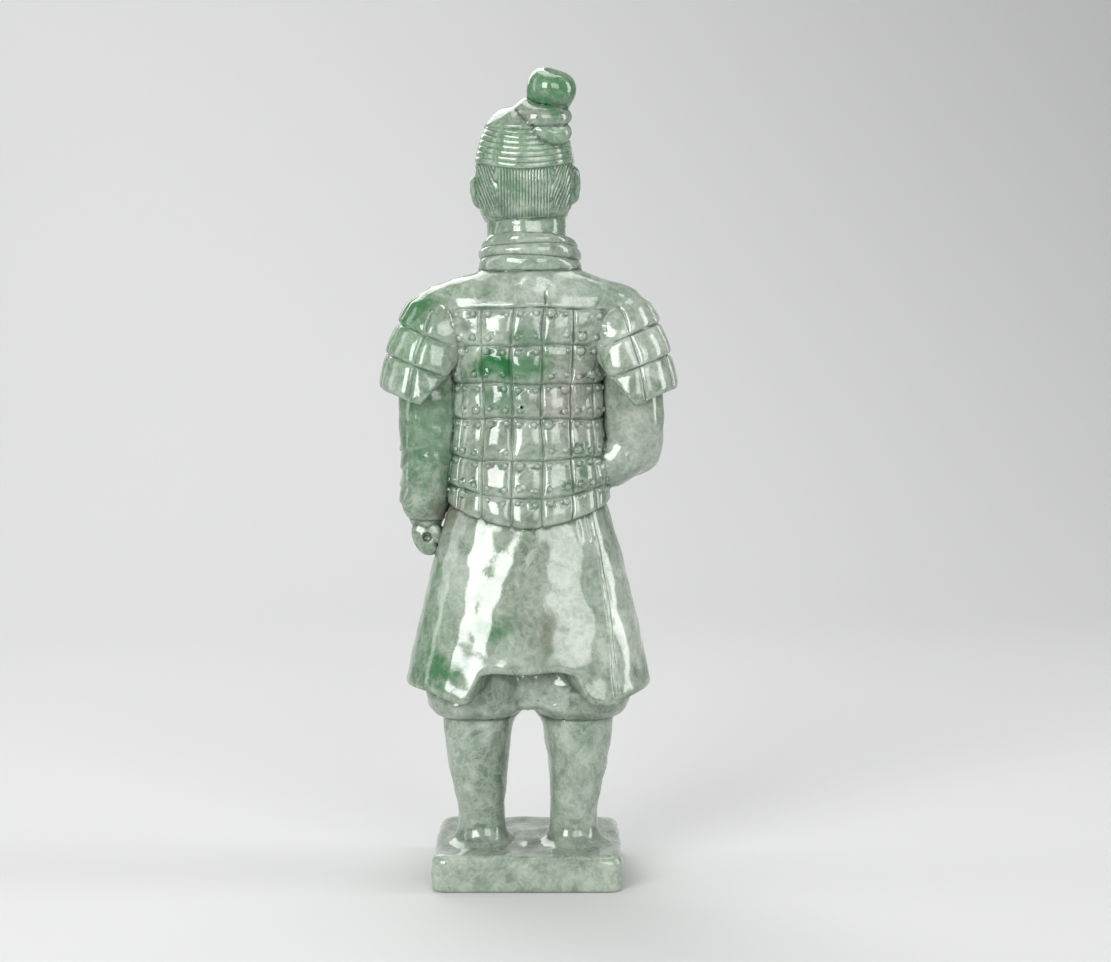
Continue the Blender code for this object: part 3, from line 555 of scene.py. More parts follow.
def trunk_point(angles, levels):
    """The trunk without its carving: an oval ring at each height, whose rim rises with the squared cosine.

    Where the trunk is wider than its waist, the share across grows only near the sides, by its fifth power,
    so that upright lines stay upright. Slow waves make every line drift a little.
    """
    low, high = RIM_BOTTOM, RIM_BOTTOM + sum(ROW_HEIGHTS)
    angles, levels = np.broadcast_arrays(angles, levels)
    share_up = np.clip((levels - low) / (high - low), 0, 1)
    drift = 0.011 * np.sin(levels / 6.1 + 3 * angles) + 0.006 * np.sin(levels / 3.3 - 5 * angles)
    wave = 0.2 * np.sin(3 * angles + levels / 4.7) + 0.12 * np.sin(7 * angles + levels / 9.0)
    inside = eased(low, low + 4, levels) * (1 - eased(high + 1, high + 5, levels))
    turned_angles = angles + drift * inside
    heights = levels + wave * inside + RIM_RISE * (1 - share_up) ** 5 * np.cos(angles) ** 2
    a, b, cy, n = through(TRUNK, heights)
    share, _ = oval(turned_angles, 1.0, 1.0, n)
    straight = np.minimum(a, UPRIGHTS_HALF_WIDTH)
    share = (straight * share + (a - straight) * np.sign(share) * np.abs(share) ** 5) / a
    share = np.clip(share, -1, 1)
    x = a * share
    y = b * np.sign(np.sin(turned_angles)) * (1 - np.abs(share) ** n) ** (1 / n)
    leaning = SHOULDERS_RIGHT * eased(126, 138, heights)
    return np.stack([x - leaning, y + cy, heights], axis=-1)


def trunk(cut):
    """Plate armour and the mantle over it.

    The relief is a pillow on each plate and a step at each row, less the cut lines.
    """
    lines = RIM_BOTTOM + np.concatenate([[0.0], np.cumsum(ROW_HEIGHTS)])
    top = lines[-1]
    mantle = top + np.array([
        0, 0.15, 0.35, 0.6, 0.95, 1.4, 2.0, 2.8, 3.7, 4.6, 5.5, 6.3, 7.0, 7.7, 8.4, 9.1, 9.9, 10.8, 11.7])
    levels = np.concatenate([between(lines, ROW_SHARES), mantle])[:, None]
    pitch = 2 * np.pi / PLATES_AROUND
    start = np.pi / 2 + pitch / 2
    angles = between(start + pitch * np.arange(PLATES_AROUND + 1), PLATE_SHARES)[None, :]
    rings = trunk_point(angles, levels)

    across = ((angles - start) / pitch) % 1
    from_upright = np.minimum(across, 1 - across) * PLATE_ARC
    row = np.clip(np.searchsorted(lines, levels, side="right") - 1, 0, len(ROW_HEIGHTS) - 1)
    up = np.clip((levels - lines[row]) / np.array(ROW_HEIGHTS)[row], 0, 1)
    from_row = np.min(np.abs(levels[..., None] - lines[1:]), axis=2)
    armour = 1 - eased(top - 0.05, top + 0.05, levels)
    from_start = turned_back(angles - start)
    yoke_seam = hump(from_start, 0.4 * pitch) * (1 - eased(top + 3.2, top + 4.6, levels))
    uprights = hump(from_upright, cut.groove_half) * np.maximum(armour, 0.7 * yoke_seam)
    cross_lines = hump(from_row, cut.groove_half)
    pillow = cut.plate_swell * (1 - np.abs(2 * across - 1) ** 3) * (1 - np.abs(2 * up - 1) ** 3)
    lip = 1.25 * cut.shingle * np.exp(-np.clip(levels - top, 0, None) / 2.6) * (1 - armour)
    relief = (pillow + cut.shingle * (1 - up)) * armour + lip
    smooth_shoulder = eased(13.5, 16.5, np.abs(rings[..., 0] + SHOULDERS_RIGHT)) * eased(121.5, 123.0, levels)
    relief = relief - cut.groove_depth * np.maximum(uprights, cross_lines) * (1 - smooth_shoulder)
    rim = np.array([0.9, 0.45, 0.2, 0.06])
    relief[: len(rim)] -= rim[:, None]
    return closed_skin(raised(rings, relief), (0, 0, 83), (0, 0, 144.8))


def rivets(cut):
    """Knobs at the corners of the trunk's plates: low domes, each placed with a small drift."""
    lines = RIM_BOTTOM + np.concatenate([[0.0], np.cumsum(ROW_HEIGHTS)])
    pitch = 2 * np.pi / PLATES_AROUND
    start = np.pi / 2 + pitch / 2
    plate, row, corner = (a.ravel() for a in np.meshgrid(
        np.arange(PLATES_AROUND), np.arange(len(ROW_HEIGHTS)), np.arange(4), indexing="ij"))
    chance = np.random.default_rng(7)
    drift_across, drift_up, size, kept = chance.random((4, len(plate)))
    right_hand, upper = corner % 2, corner // 2
    across = np.where(right_hand, PLATE_ARC - 1.65, 1.65) + 0.5 * (drift_across - 0.5)
    up = np.where(upper, np.array(ROW_HEIGHTS)[row] - 1.5, 1.9) + 0.5 * (drift_up - 0.5)
    angle = start + pitch * (plate + across / PLATE_ARC)
    level = lines[row] + up
    keep = (kept > 0.14) & ((row > 0) | (upper == 1))
    angle, level, size = angle[keep], level[keep], size[keep]
    radius = cut.rivet_radius * (0.85 + 0.3 * size + 0.45 * (size > 0.93))
    step = 0.01
    centre = trunk_point(angle, level)
    out = np.cross(trunk_point(angle + step, level) - centre, trunk_point(angle, level + step) - centre)
    out /= np.linalg.norm(out, axis=1, keepdims=True)
    below = np.searchsorted(lines, level) - 1
    share = (level - lines[below]) / np.array(ROW_HEIGHTS)[below]
    lift = 0.65 * cut.plate_swell + cut.shingle * (1 - share)
    centre = centre + out * lift[:, None]
    return knobs(centre, out, radius)


def knobs(centres, outs, radii):
    """Low domes: two rings and a crown of a flattened ball, on a short foot that runs into the stone."""
    sides = 8
    lifts = np.array([-0.6, 0.15, 0.55])
    widths = np.array([1.0, 1.0, 0.7])
    u = np.cross(outs, np.where(np.abs(outs[:, 2:]) < 0.9, [[0.0, 0.0, 1.0]], [[1.0, 0.0, 0.0]]))
    u /= np.linalg.norm(u, axis=1, keepdims=True)
    v = np.cross(outs, u)
    turn = around(sides)
    ring = np.cos(turn)[:, None] * u[:, None, None] + np.sin(turn)[:, None] * v[:, None, None]
    grid = centres[:, None, None] + radii[:, None, None, None] * (
        widths[:, None, None] * ring + lifts[:, None, None] * outs[:, None, None])
    low = centres - 0.6 * radii[:, None] * outs
    high = centres + 0.75 * radii[:, None] * outs
    _, pattern = closed_skin(grid[0], low[0], high[0])
    count = len(lifts) * sides + 2
    points = np.concatenate([grid.reshape(len(radii), -1, 3), low[:, None], high[:, None]], axis=1)
    offsets = count * np.arange(len(radii))[:, None, None]
    return points.reshape(-1, 3), (pattern[None] + offsets).reshape(-1, 3)


def hem_height(angles):
    """Height of the skirt's hem round the body, on a curve that closes on itself."""
    turns = [(a + t, z) for t in (-360, 0, 360) for a, z in HEM]
    return through(turns, np.degrees(angles) % 360)[0]


def skirt_folds(angles, share_up):
    """Bells along lines that drift with height: a narrow folded edge, soft swells and the lap in front."""
    deg = np.degrees(angles) % 360
    edge_at = 130.5 + 7.5 * share_up
    ridge_at = 50 + 10 * share_up
    lap_at = 288 - 10 * share_up
    beyond = eased(edge_at - 1, edge_at + 1, deg) * (1 - eased(195, 225, deg))
    edge = 0.5 * hump(deg - edge_at, 0.9) + 0.25 * beyond
    ridge = 0.35 * hump(deg - ridge_at, 8)
    lap = 0.6 * hump(deg - lap_at, 2.2) + 0.45 * hump(deg - lap_at - 12, 12)
    tab = 0.5 * np.exp(-(((deg - 128.5) / 3.4) ** 4) - ((share_up - 0.79) / 0.055) ** 4)
    swells = sum(0.16 * hump(deg - at - 6 * share_up, 9) for at in (8, 172, 208, 236, 318, 340))
    return edge + ridge + lap + swells + tab


def skirt():
    """The robe below the armour. Its rings go from the hem, cut up in an arch behind, to the waist."""
    fine = np.concatenate([np.arange(60, 72, 0.75), np.arange(108, 144, 0.75), np.arange(276, 300, 1.2)])
    rest = np.concatenate([
        np.arange(0, 60, 2.4), np.arange(72, 108, 3.0), np.arange(144, 276, 3.3), np.arange(300, 360, 2.7)])
    angles = np.radians(np.sort(np.concatenate([fine, rest])))[None, :]
    share_up = np.concatenate([[0, 0.004, 0.012, 0.025, 0.045], np.linspace(0.07, 1, 34)])[:, None]
    top = SKIRT[-1][0]
    hem = hem_height(angles)
    heights = hem + (top - hem) * share_up
    a, b, cy, n = through(SKIRT, heights)
    up = np.clip((heights - hem) / 1.3, 0, 1)
    tuck = 0.9 * (1 - np.sqrt(1 - (1 - up) ** 2))
    x, y = oval(angles, a - tuck, b - tuck, n)
    rings = np.stack([x, y + cy, heights], axis=2)
    fade = 1 - eased(0.86, 1.0, share_up)
    rings = raised(rings, skirt_folds(angles, share_up) * fade)
    lip = rings[:1] * [0.93, 0.93, 1.0] + [0, 0, 0.2]
    inner = rings[:1] * [0.84, 0.84, 1.0] + [0, 0, 2.0]
    return closed_skin(np.concatenate([inner, lip, rings]), (0, 0, 48.0))


def trousers(side):
    """One leg of the trousers, gathered over the boot: a wide soft roll with small waves round it."""
    heights = np.concatenate([np.linspace(31.0, 36, 16), np.linspace(36.8, 46, 8)])[:, None]
    rings = limb(TROUSERS, heights, around(64)[None, :], side)
    crumple = 0.22 * np.sin(5 * around(64)[None, :] + heights) * eased(32, 35, heights)
    return closed_skin(raised(rings, crumple), (side * TROUSERS[0][1], 1.8, 32.0))


def seat():
    """The cloth between the two trouser legs, whose underside is an arch."""
    heights = np.concatenate([np.linspace(33.1, 36, 9), np.linspace(37, 45, 5)])[:, None]
    return closed_skin(stacked(SEAT, heights, around(48)[None, :]))


def leg(side):
    """A booted leg that spreads in a quarter round into the plinth, and bends inwards into the arch above."""
    spread = [-0.5, 0.15, 0.4, 0.8, 1.3, 2.0, 3.0, 4.2]
    heights = np.concatenate([spread, np.linspace(5.6, 35.0, 22)])[:, None]
    angles = around(56)[None, :]
    rings = limb(LEG, heights, angles, side)
    rise = np.clip(heights, 0, ANKLE_SPREAD)
    flare = ANKLE_SPREAD - np.sqrt(ANKLE_SPREAD**2 - (ANKLE_SPREAD - rise) ** 2)
    wrinkle = 0.06 * np.sin(heights * 1.1 + 2 * np.sin(angles))
    wrinkle = wrinkle * eased(4, 8, heights) * (1 - eased(24, 30, heights))
    rings = raised(rings, flare + wrinkle)
    up = np.clip(heights - CROTCH_TOP + CROTCH_ARCH, 0, CROTCH_ARCH - 0.1)
    closing = CROTCH_ARCH - np.sqrt(CROTCH_ARCH**2 - up**2)
    inwards = np.clip(-side * np.cos(angles), 0, 1) ** 0.8
    rings[..., 0] -= side * closing * inwards
    return closed_skin(rings)


def shoe(side):
    """A square-toed shoe that points forward out of the leg, with a welt just above its sole."""
    y = np.linspace(SHOE[0][0], SHOE[-1][0], 44)
    keys = np.array(SHOE)[::-1]
    half, top, squareness = through(keys, y)
    angles = around(40)[None, :]
    sink = -0.5
    u, v = oval(angles, half[:, None], (top - sink)[:, None] / 2, squareness[:, None])
    toe_out = side * 0.02 * (8.0 - y)[:, None]
    x = side * 11.3 + toe_out + u
    z = v + (top + sink)[:, None] / 2
    rings = np.stack([x, np.broadcast_to(y[:, None], x.shape), z], axis=2)
    welt = -0.28 * hump(z - 1.5, 0.35) * (y[:, None] < 9)
    return closed_skin(raised(rings, welt))


def guard(side, cut):
    """A shoulder guard of three lapped rows of pillowed plates.

    Its row lines fall towards the back, and the rim climbs to the armpit.
    """
    rows = 3
    lines = np.arange(rows + 1) / rows
    share_down = np.concatenate([np.linspace(0.04, 0.16, 3), between(lines, ROW_SHARES)[5:], [1.0]])
    share_down = np.unique(share_down)[:, None]
    pitch = 2 * np.pi / GUARD_PLATES
    start = 0.5 * pitch
    angles = between(start + pitch * np.arange(GUARD_PLATES + 1), PLATE_SHARES)[None, :]
    x_share, y_share = oval(angles, 1.0, 1.0, 2.2)
    inwards = np.clip(-x_share, 0, 1)
    fall = np.clip((1 - x_share) / np.array([1.4, 1.4, 1.4, 1.05])[:, None], 0, 1)
    behind = fall * np.where(y_share > 0, 1.0, 0.7 + 0.3 * inwards)
    outer_side = np.array(GUARD_OUTSIDE)[:, None]
    fallen = np.array(GUARD_BEHIND)[:, None]
    heights_of_lines = outer_side + (fallen - outer_side) * behind
    rim = heights_of_lines[-1:] + GUARD_ARMPIT * inwards**1.15
    heights_of_lines = np.maximum(heights_of_lines, rim + 0.5 * np.arange(3, -1, -1)[:, None])
    place = share_down * rows
    k = np.clip(place.astype(int), 0, rows - 1)
    low = np.take_along_axis(heights_of_lines, np.broadcast_to(k, (len(k), angles.shape[1])), axis=0)
    high = np.take_along_axis(heights_of_lines, np.broadcast_to(k + 1, (len(k), angles.shape[1])), axis=0)
    heights = low + (high - low) * (place - k)

    outer = np.interp(share_down, [0.04, 0.16, 0.33, 0.64, 0.95, 1.0], [25.6, 29.6, 32.0, 34.7, 36.2, 36.0])
    outer = outer + 0.4 * (side == RIGHT)
    depth = np.interp(share_down, [0.04, 0.16, 0.33, 0.64, 1.0], [7.2, 9.4, 11.4, 12.3, 12.6])
    inner = np.interp(share_down, [0.04, 0.5, 1.0], [GUARD_INNER_TOP, 14.5, GUARD_INNER])
    x, y = oval(angles, (outer - inner) / 2, depth, 2.2)
    rings = np.stack([(outer + inner) / 2 + x, y + 0.3, heights], axis=2)

    across = ((angles - start) / pitch) % 1
    down = place - k
    arc = 9.2
    from_upright = np.minimum(across, 1 - across) * arc
    from_row = np.abs(place - np.round(place)) * 8.2
    from_row = np.where(place < 0.5, 9.0, from_row)
    plated = eased(-0.75, -0.4, x_share)
    pillow = 0.8 * cut.plate_swell * (1 - (2 * across - 1) ** 4) * (1 - (2 * down - 1) ** 4) * plated
    lap = GUARD_PROUD * down * (0.2 + 0.8 * plated)
    uprights = hump(from_upright, 1.2 * cut.groove_half) * 0.8
    cuts = np.maximum(uprights, hump(from_row, cut.groove_half)) * plated
    fade = eased(0.1, 0.3, place)
    relief = (pillow + lap - cut.groove_depth * cuts) * fade
    relief[-1] = GUARD_PROUD - 0.5
    relief[-2] = GUARD_PROUD - 0.12
    rings = raised(rings[::-1], relief[::-1])
    rings[..., 0] *= side
    pole = (side * 26.0, 0.3, GUARD_OUTSIDE[-1] + 3)
    top_pole = (side * 21.0, 0.3, GUARD_OUTSIDE[0] - 0.4)
    return closed_skin(rings, pole, top_pole)


def sleeve_folds(height, angles, outward):
    """Shallow steps down the outer front of a sleeve, like cloth pushed up the arm: a saw of round teeth."""
    reach = hump(turned_back(angles - outward), 1.1)
    lift = height + 0.8 * np.sin(2 * angles + 1.0)
    saw = ((lift - 80.9) / 4.3) % 1
    tooth = 0.5 - saw + 0.5 * eased(0.88, 1.0, saw) * 2 * saw - 0.5 * eased(0.88, 1.0, saw)
    fade = eased(81.7, 83.7, height) * (1 - eased(97.2, 101.2, height))
    return 0.75 * tooth * fade * reach


def arm_left():
    """The arm that hangs straight down."""
    heights = np.concatenate([np.linspace(80.0, 100, 56), np.linspace(101, 126.6, 22)])[:, None]
    angles = around(64)[None, :]
    rings = limb(ARM_LEFT, heights, angles, LEFT)
    slack = 0.25 * hump(turned_back(angles - 1.9), 0.5) * np.sin(heights / 5.0 + angles)
    return closed_skin(raised(rings, sleeve_folds(heights, angles, -0.5) + slack))


def arm_right():
    """The arm that bends at the elbow and comes across the belly, with rings of cloth along it."""
    share = np.linspace(0, len(ARM_RIGHT) - 1, 76)
    keys = [(i, *row) for i, row in enumerate(ARM_RIGHT)]
    x, y, z, across, in_plane = through(keys, share)
    path = np.stack([RIGHT * x, y, z], axis=1)
    angles = around(64)
    rings = tube(path, across, in_plane, angles, (1, 0, 0))
    along = share[:, None] / share[-1]
    wave = 0.55 * np.sin(2 * np.pi * 3.5 * (along - 0.5)) * eased(0.5, 0.62, along)
    reach = hump(turned_back(angles[None, :] - 1.2 * np.pi), 1.3)
    return closed_skin(raised(rings, wave * reach * (1 - eased(0.93, 1, along))))


def fist(centre, axis, across):
    """Four curled fingers round a blind grip hole: an oval whose size swells once for each finger."""
    half = FIST_LENGTH / 2
    u, v = FIST_HALF
    finger = FIST_LENGTH / FINGERS
    along = np.linspace(-half + 0.35, half - 0.35, 41)
    bulge = np.abs(np.sin(np.pi * (along + half) / finger)) ** 0.6
    ends = np.sqrt(np.clip(1 - (np.abs(along) / (half + 0.25)) ** 6, 0, 1))
    body = np.stack([along, u * (0.87 + 0.13 * bulge) * ends, v * (0.89 + 0.11 * bulge) * ends], axis=1)
    deep = np.array([GRIP_DEPTH, GRIP_DEPTH, 0.4, 0.05, -0.1, 0.1]) - half
    wide = np.array([0.2, GRIP_BORE * 0.9, GRIP_BORE, GRIP_BORE * 1.15, GRIP_BORE * 1.25, GRIP_BORE * 1.4])
    bore = np.stack([deep, wide, wide], axis=1)
    far = bore[::-1] * [-1, 1, 1]
    profile = np.concatenate([bore, body, far])
    axis = np.asarray(axis, float) / np.linalg.norm(axis)
    e1 = np.asarray(across, float) - axis * (axis @ np.asarray(across, float))
    e1 /= np.linalg.norm(e1)
    e2 = np.cross(axis, e1)
    s, t = oval(around(40)[None, :], profile[:, 1:2], profile[:, 2:3], 2.15)
    path = np.asarray(centre, float) + profile[:, :1] * axis
    return closed_skin(path[:, None] + s[..., None] * e1 + t[..., None] * e2)


def thumb(centre, axis, across):
    """A thumb laid along the fist: a slim ball stretched along its length."""
    along = [-2.8, -2.5, -1.8, 0, 2.0, 2.8, 3.1]
    half = [0.3, 1.0, 1.5, 1.6, 1.4, 0.9, 0.3]
    profile = np.stack([along, half, half], axis=1)
    return closed_skin(turned(centre, axis, across, profile, 20, 22))


def sleeve_drape():
    """Cloth that hangs from the bent elbow and slopes down to the trunk: a ball stretched along it."""
    turn = np.linspace(-np.pi / 2, np.pi / 2, 13)
    long_half, deep_half, low_half = SLEEVE_DRAPE_HALF
    profile = np.stack([long_half * np.sin(turn), deep_half * np.cos(turn), low_half * np.cos(turn)], axis=1)
    return closed_skin(turned(SLEEVE_DRAPE, SLEEVE_DRAPE_SLOPE, (0, 1, 0), profile, 48, 30))


def wrist_left():
    """The cuff between the hanging sleeve and its fist."""
    heights = np.linspace(76.5, 82.5, 14)[:, None]
    return closed_skin(limb(WRIST_LEFT, heights, around(40)[None, :], LEFT))


def wrist_right():
    """The short wrist between the bent forearm and its fist."""
    start, end = np.array([-18.2, -16.6, 96.4]), np.array([-14.8, -20.6, 98.3])
    profile = [(0, 3.0, 3.6), (2.5, 3.1, 3.7), (4.5, 3.0, 3.6), (5.6, 2.6, 3.0)]
    return closed_skin(turned(start, end - start, (1, 0, 0), profile, 32, 10))


def collar():
    """A scarf wound round the neck in three rolls: between two folds the skin stands out by a half round."""
    folds = np.array(COLLAR_FOLDS)
    shares = (0, 0.03, 0.08, 0.16, 0.28, 0.42, 0.58, 0.72, 0.84, 0.92, 0.97)
    heights = np.concatenate([[COLLAR[0][0]], between(folds, shares), folds[-1:]])[:, None]
    angles = around(88)[None, :]
    a, b, cy = through(COLLAR, np.broadcast_to(heights, (len(heights), angles.shape[1])))
    x, y = oval(angles, a, b, 2.1)
    sag = 0.25 * np.sin(2 * angles + heights)
    rings = np.stack([x + COLLAR_LEFT, y + cy, heights + COLLAR_TILT * y + sag], axis=2)
    row = np.clip(np.searchsorted(folds, heights, side="right") - 1, 0, len(folds) - 2)
    share = np.clip((heights - folds[row]) / (folds[row + 1] - folds[row]), 0, 1)
    roll = 0.95 * np.sqrt(np.clip(1 - (2 * share - 1) ** 2, 0, 1)) - 0.45
    return closed_skin(raised(rings, roll))


def neck():
    """The neck, with a low swell behind and two shallow creases across it."""
    heights = np.linspace(139.5, 158.0, 30)[:, None]
    angles = around(64)[None, :]
    rings = stacked(NECK, heights, angles, NECK_LEFT)
    tendon = 0.5 * hump(turned_back(angles - np.pi / 2), 0.25)
    crease = -0.18 * hump(heights - 150.6, 0.4) - 0.12 * hump(heights - 152.4, 0.3)
    return closed_skin(raised(rings, tendon * eased(149, 152, heights) * 0.4 + crease))


def face_relief(x, z):
    """How far a calm, plain face stands forward of the smooth head: bells and bands across and up it."""
    side = np.abs(x)
    up_nose = [NOSE_BASE - 0.35, NOSE_BASE + 0.35, NOSE_BASE + 1.0, EYE_LINE, BROW + 0.8]
    bridge = np.interp(z, up_nose, [0, 2.5, 2.7, 1.2, 0.2])
    bridge_half = np.interp(z, [NOSE_BASE, NOSE_BASE + 1.8, EYE_LINE, BROW + 1], [1.5, 1.05, 0.95, 2.4])
    eye_side = (side - 3.7) / 2.05
    in_eye = np.clip(1 - eye_side**2, 0, 1)
    upper_lid = EYE_LINE + 0.15 + 0.85 * in_eye
    lower_lid = EYE_LINE - 0.55 * in_eye
    brow_at = BROW + 0.75 - 0.045 * (side - 4.0) ** 2
    return (
        bridge * hump(x, bridge_half)
        + 0.75 * hump(side - 1.45, 0.75) * hump(z - NOSE_BASE - 0.7, 0.75)
        - 0.4 * hump(side - 0.85, 0.4) * hump(z - NOSE_BASE + 0.1, 0.35)
        + 0.5 * hump(side - 4.0, 2.9) * hump(z - brow_at, 0.75)
        - 1.15 * hump(side - 3.7, 2.5) * hump(z - EYE_LINE, 1.75)
        + 0.95 * np.sqrt(in_eye) * hump(z - EYE_LINE - 0.15, 1.05)
        + 0.22 * (in_eye > 0) * hump(z - upper_lid, 0.28)
        - 0.30 * (in_eye > 0.02) * hump(z - upper_lid - 0.5, 0.25)
        - 0.30 * (in_eye > 0.02) * hump(z - upper_lid + 0.42, 0.2)
        - 0.24 * (in_eye > 0.02) * hump(z - lower_lid, 0.2)
        + 0.45 * hump(side - 5.8, 2.6) * hump(z - NOSE_BASE - 1.8, 2.6)
        - 0.25 * hump(side - 2.6, 0.5) * hump(z - NOSE_BASE + 0.6, 1.1)
        - 0.22 * hump(x, 0.42) * hump(z - MOUTH_LINE - 1.7, 0.6)
        + (0.75 + 0.12 * hump(side - 0.8, 0.5)) * hump(x, 2.2) * hump(z - MOUTH_LINE - 0.62, 0.45)
        + 0.85 * hump(x, 1.9) * hump(z - MOUTH_LINE + 0.68, 0.52)
        - 0.45 * hump(x, 2.7) * hump(z - MOUTH_LINE, 0.2)
        - 0.3 * hump(side - 2.9, 0.5) * hump(z - MOUTH_LINE, 0.45)
        - 0.5 * hump(x, 2.4) * hump(z - MOUTH_LINE + 1.9, 0.6)
        + 0.85 * hump(x, 2.7) * hump(z - CHIN - 1.7, 1.4)
    )


def head():
    """The skull with its face. Columns and rows are closer together in front, where the face is."""
    front = np.radians(np.linspace(-56, 56, 75) - 90)
    behind = np.radians(np.linspace(-26, 206, 36))
    angles = np.sort(np.concatenate([front, behind]) % (2 * np.pi))[None, :]
    levels = [[150.9, 151.6, 152.3], np.arange(152.9, 175.5, 0.3), np.linspace(176.2, 181.0, 7)]
    levels = np.concatenate(levels)[:, None]
    rings = stacked(HEAD, np.broadcast_to(levels, (len(levels), angles.shape[1])), angles, HEAD_LEFT)
    facing = eased(0.25, 0.8, -np.sin(angles))
    rings[..., 1] -= face_relief(rings[..., 0] - HEAD_LEFT, levels) * facing
    return closed_skin(rings, (HEAD_LEFT, -2.6, 149.9), (HEAD_LEFT, 2.0, HEAD_TOP))


def hairline(back):
    """Height of the hair's edge: back is 1 at the nape, 0 beside the ears and -1 at the forehead."""
    return np.interp(back, [-1, -0.75, -0.45, -0.2, 0.1, 0.45, 1], [
        FRONT_HAIRLINE, FRONT_HAIRLINE, 171.5, 164.2, 160.2, NAPE_HAIRLINE + 1.0, NAPE_HAIRLINE])


def hair_shell(cut):
    """Hair over the skull: the head's own oval lifted half a millimetre, and sunk where the face is.

    Combed lines are a cosine of the distance across over their spacing, slanted beyond the middle, the
    bands above are half rounds, and the flap over the crown stands out in one step.
    """
    behind = np.linspace(-12.6, 12.6, 148)
    angles_behind = np.pi / 2 - np.arcsin(np.clip(behind / 13.4, -1, 1)) * 1.06
    front = np.radians(np.linspace(192, 348, 34))
    angles = np.sort(np.concatenate([angles_behind, front]))[None, :]
    back = np.sin(angles)
    band_rows = BAND_LOW_BACK + BAND_PITCH * np.arange(BANDS + 1)
    band_levels = between(band_rows, (0, 0.08, 0.22, 0.5, 0.78, 0.92))
    edge_levels = NAPE_HAIRLINE + np.array([-0.6, -0.25, 0.0, 0.2, 0.45])
    combed_levels = np.arange(NAPE_HAIRLINE + 0.75, BAND_LOW_BACK - 0.1, 0.34)
    crown_levels = [175.7, 175.85, 176.2, 176.8, 177.6, 178.6, 179.7, 180.7]
    levels = np.concatenate([edge_levels, combed_levels, band_levels, crown_levels])[:, None]
    climb = (BAND_LOW_SIDE - BAND_LOW_BACK) * (1 - np.clip(back, 0, 1) ** 2)
    lifted = eased(160, 166, levels) * (1 - eased(173, 179, levels))
    heights = levels + climb * lifted
    flap = levels > band_rows[-1] + 0.02
    hanging = 0.6 * flap * (1 - eased(175.7, 176.3, levels))
    rings = stacked(HEAD, heights - hanging, angles, HEAD_LEFT)
    shown = eased(-0.2, 0.2, heights - hairline(back))
    across = rings[..., 0] - HEAD_LEFT
    beyond = np.clip(np.abs(across) - COMBED_STRAIGHT, 0, None)
    slanted = np.abs(across) - 0.42 * (levels - NAPE_HAIRLINE - 6) * eased(0, 1.6, beyond)
    lines = np.cos(2 * np.pi * slanted / cut.hair_pitch)
    combed = cut.hair_depth * (lines - 0.4) * eased(NAPE_HAIRLINE + 0.2, NAPE_HAIRLINE + 0.8, levels)
    combed = combed * (1 - eased(BAND_LOW_BACK - 0.5, BAND_LOW_BACK - 0.1, levels)) * eased(0.1, 0.3, back)
    share = ((levels - BAND_LOW_BACK) / BAND_PITCH) % 1
    in_bands = (levels >= BAND_LOW_BACK - 0.01) & (levels < band_rows[-1] + 0.01)
    rolls = cut.band_depth * (np.sqrt(np.clip(1 - (2 * share - 1) ** 2, 0, 1)) - 0.3)
    relief = 0.5 + combed + np.where(in_bands, rolls + 0.15, 0.0) + FLAP_LIFT * flap
    relief = relief * shown - 0.9 * (1 - shown)
    return closed_skin(raised(rings, relief), (HEAD_LEFT, 1.0, 158.5), (HEAD_LEFT, 2.0, 182.0))


def ear(side):
    """A long-lobed ear: a flat oval with a rolled rim and a hollow inside it."""
    middle, half = (161.5, 4.3) if side == LEFT else (163.2, 5.1)
    turn = around(36)[None, :]
    radius = np.concatenate([np.linspace(0.05, 1, 16), np.linspace(1, 0.2, 11)])[:, None]
    outside = np.concatenate([np.ones(16), np.zeros(11)])[:, None]
    rim = 0.3 * hump(radius - 0.72, 0.15) - 0.4 * hump(radius - 0.35, 0.3) * eased(-0.6, 0.2, -np.cos(turn))
    swell = np.sqrt(np.clip(1 - radius**2, 0, 1))
    out = np.where(outside > 0, 2.1 * swell - 0.45 + rim, -1.4)
    lobe = 1 + 0.12 * np.sin(turn)
    y = 2.7 * radius * np.cos(turn) * lobe + 0.9
    z = half * radius * np.sin(turn) + middle
    x = HEAD_LEFT + side * (through(HEAD, z)[0] + 0.2 + out)
    rings = np.stack([x, y + 0.12 * (z - middle), np.broadcast_to(z, x.shape)], axis=2)
    return closed_skin(rings)


def topknot():
    """A rounded knot on two thick coils of hair, right of the crown and leaning back."""
    coil = closed_skin(turned((-5.2, 9.2, 175.5), (-0.22, 0.55, 1), (1, 0, 0), COIL_LOW, 44, 22))
    middle = np.array([-3.7, 7.4, 179.3])
    rings = turned(middle, (-0.02, 0.42, 1), (1, 0, 0), COIL_HIGH, 56, 34)
    rings[..., 2] += COIL_THICKENING * (rings[..., 0] - middle[0]) * (rings[..., 2] - middle[2])
    upper = closed_skin(rings)
    knot = closed_skin(turned((-5.8, 6.3, 185.45), (-0.3, 0.38, 1), (1, 0, 0), KNOT_BALL, 52, 44, 2.1))
    return coil, upper, knot


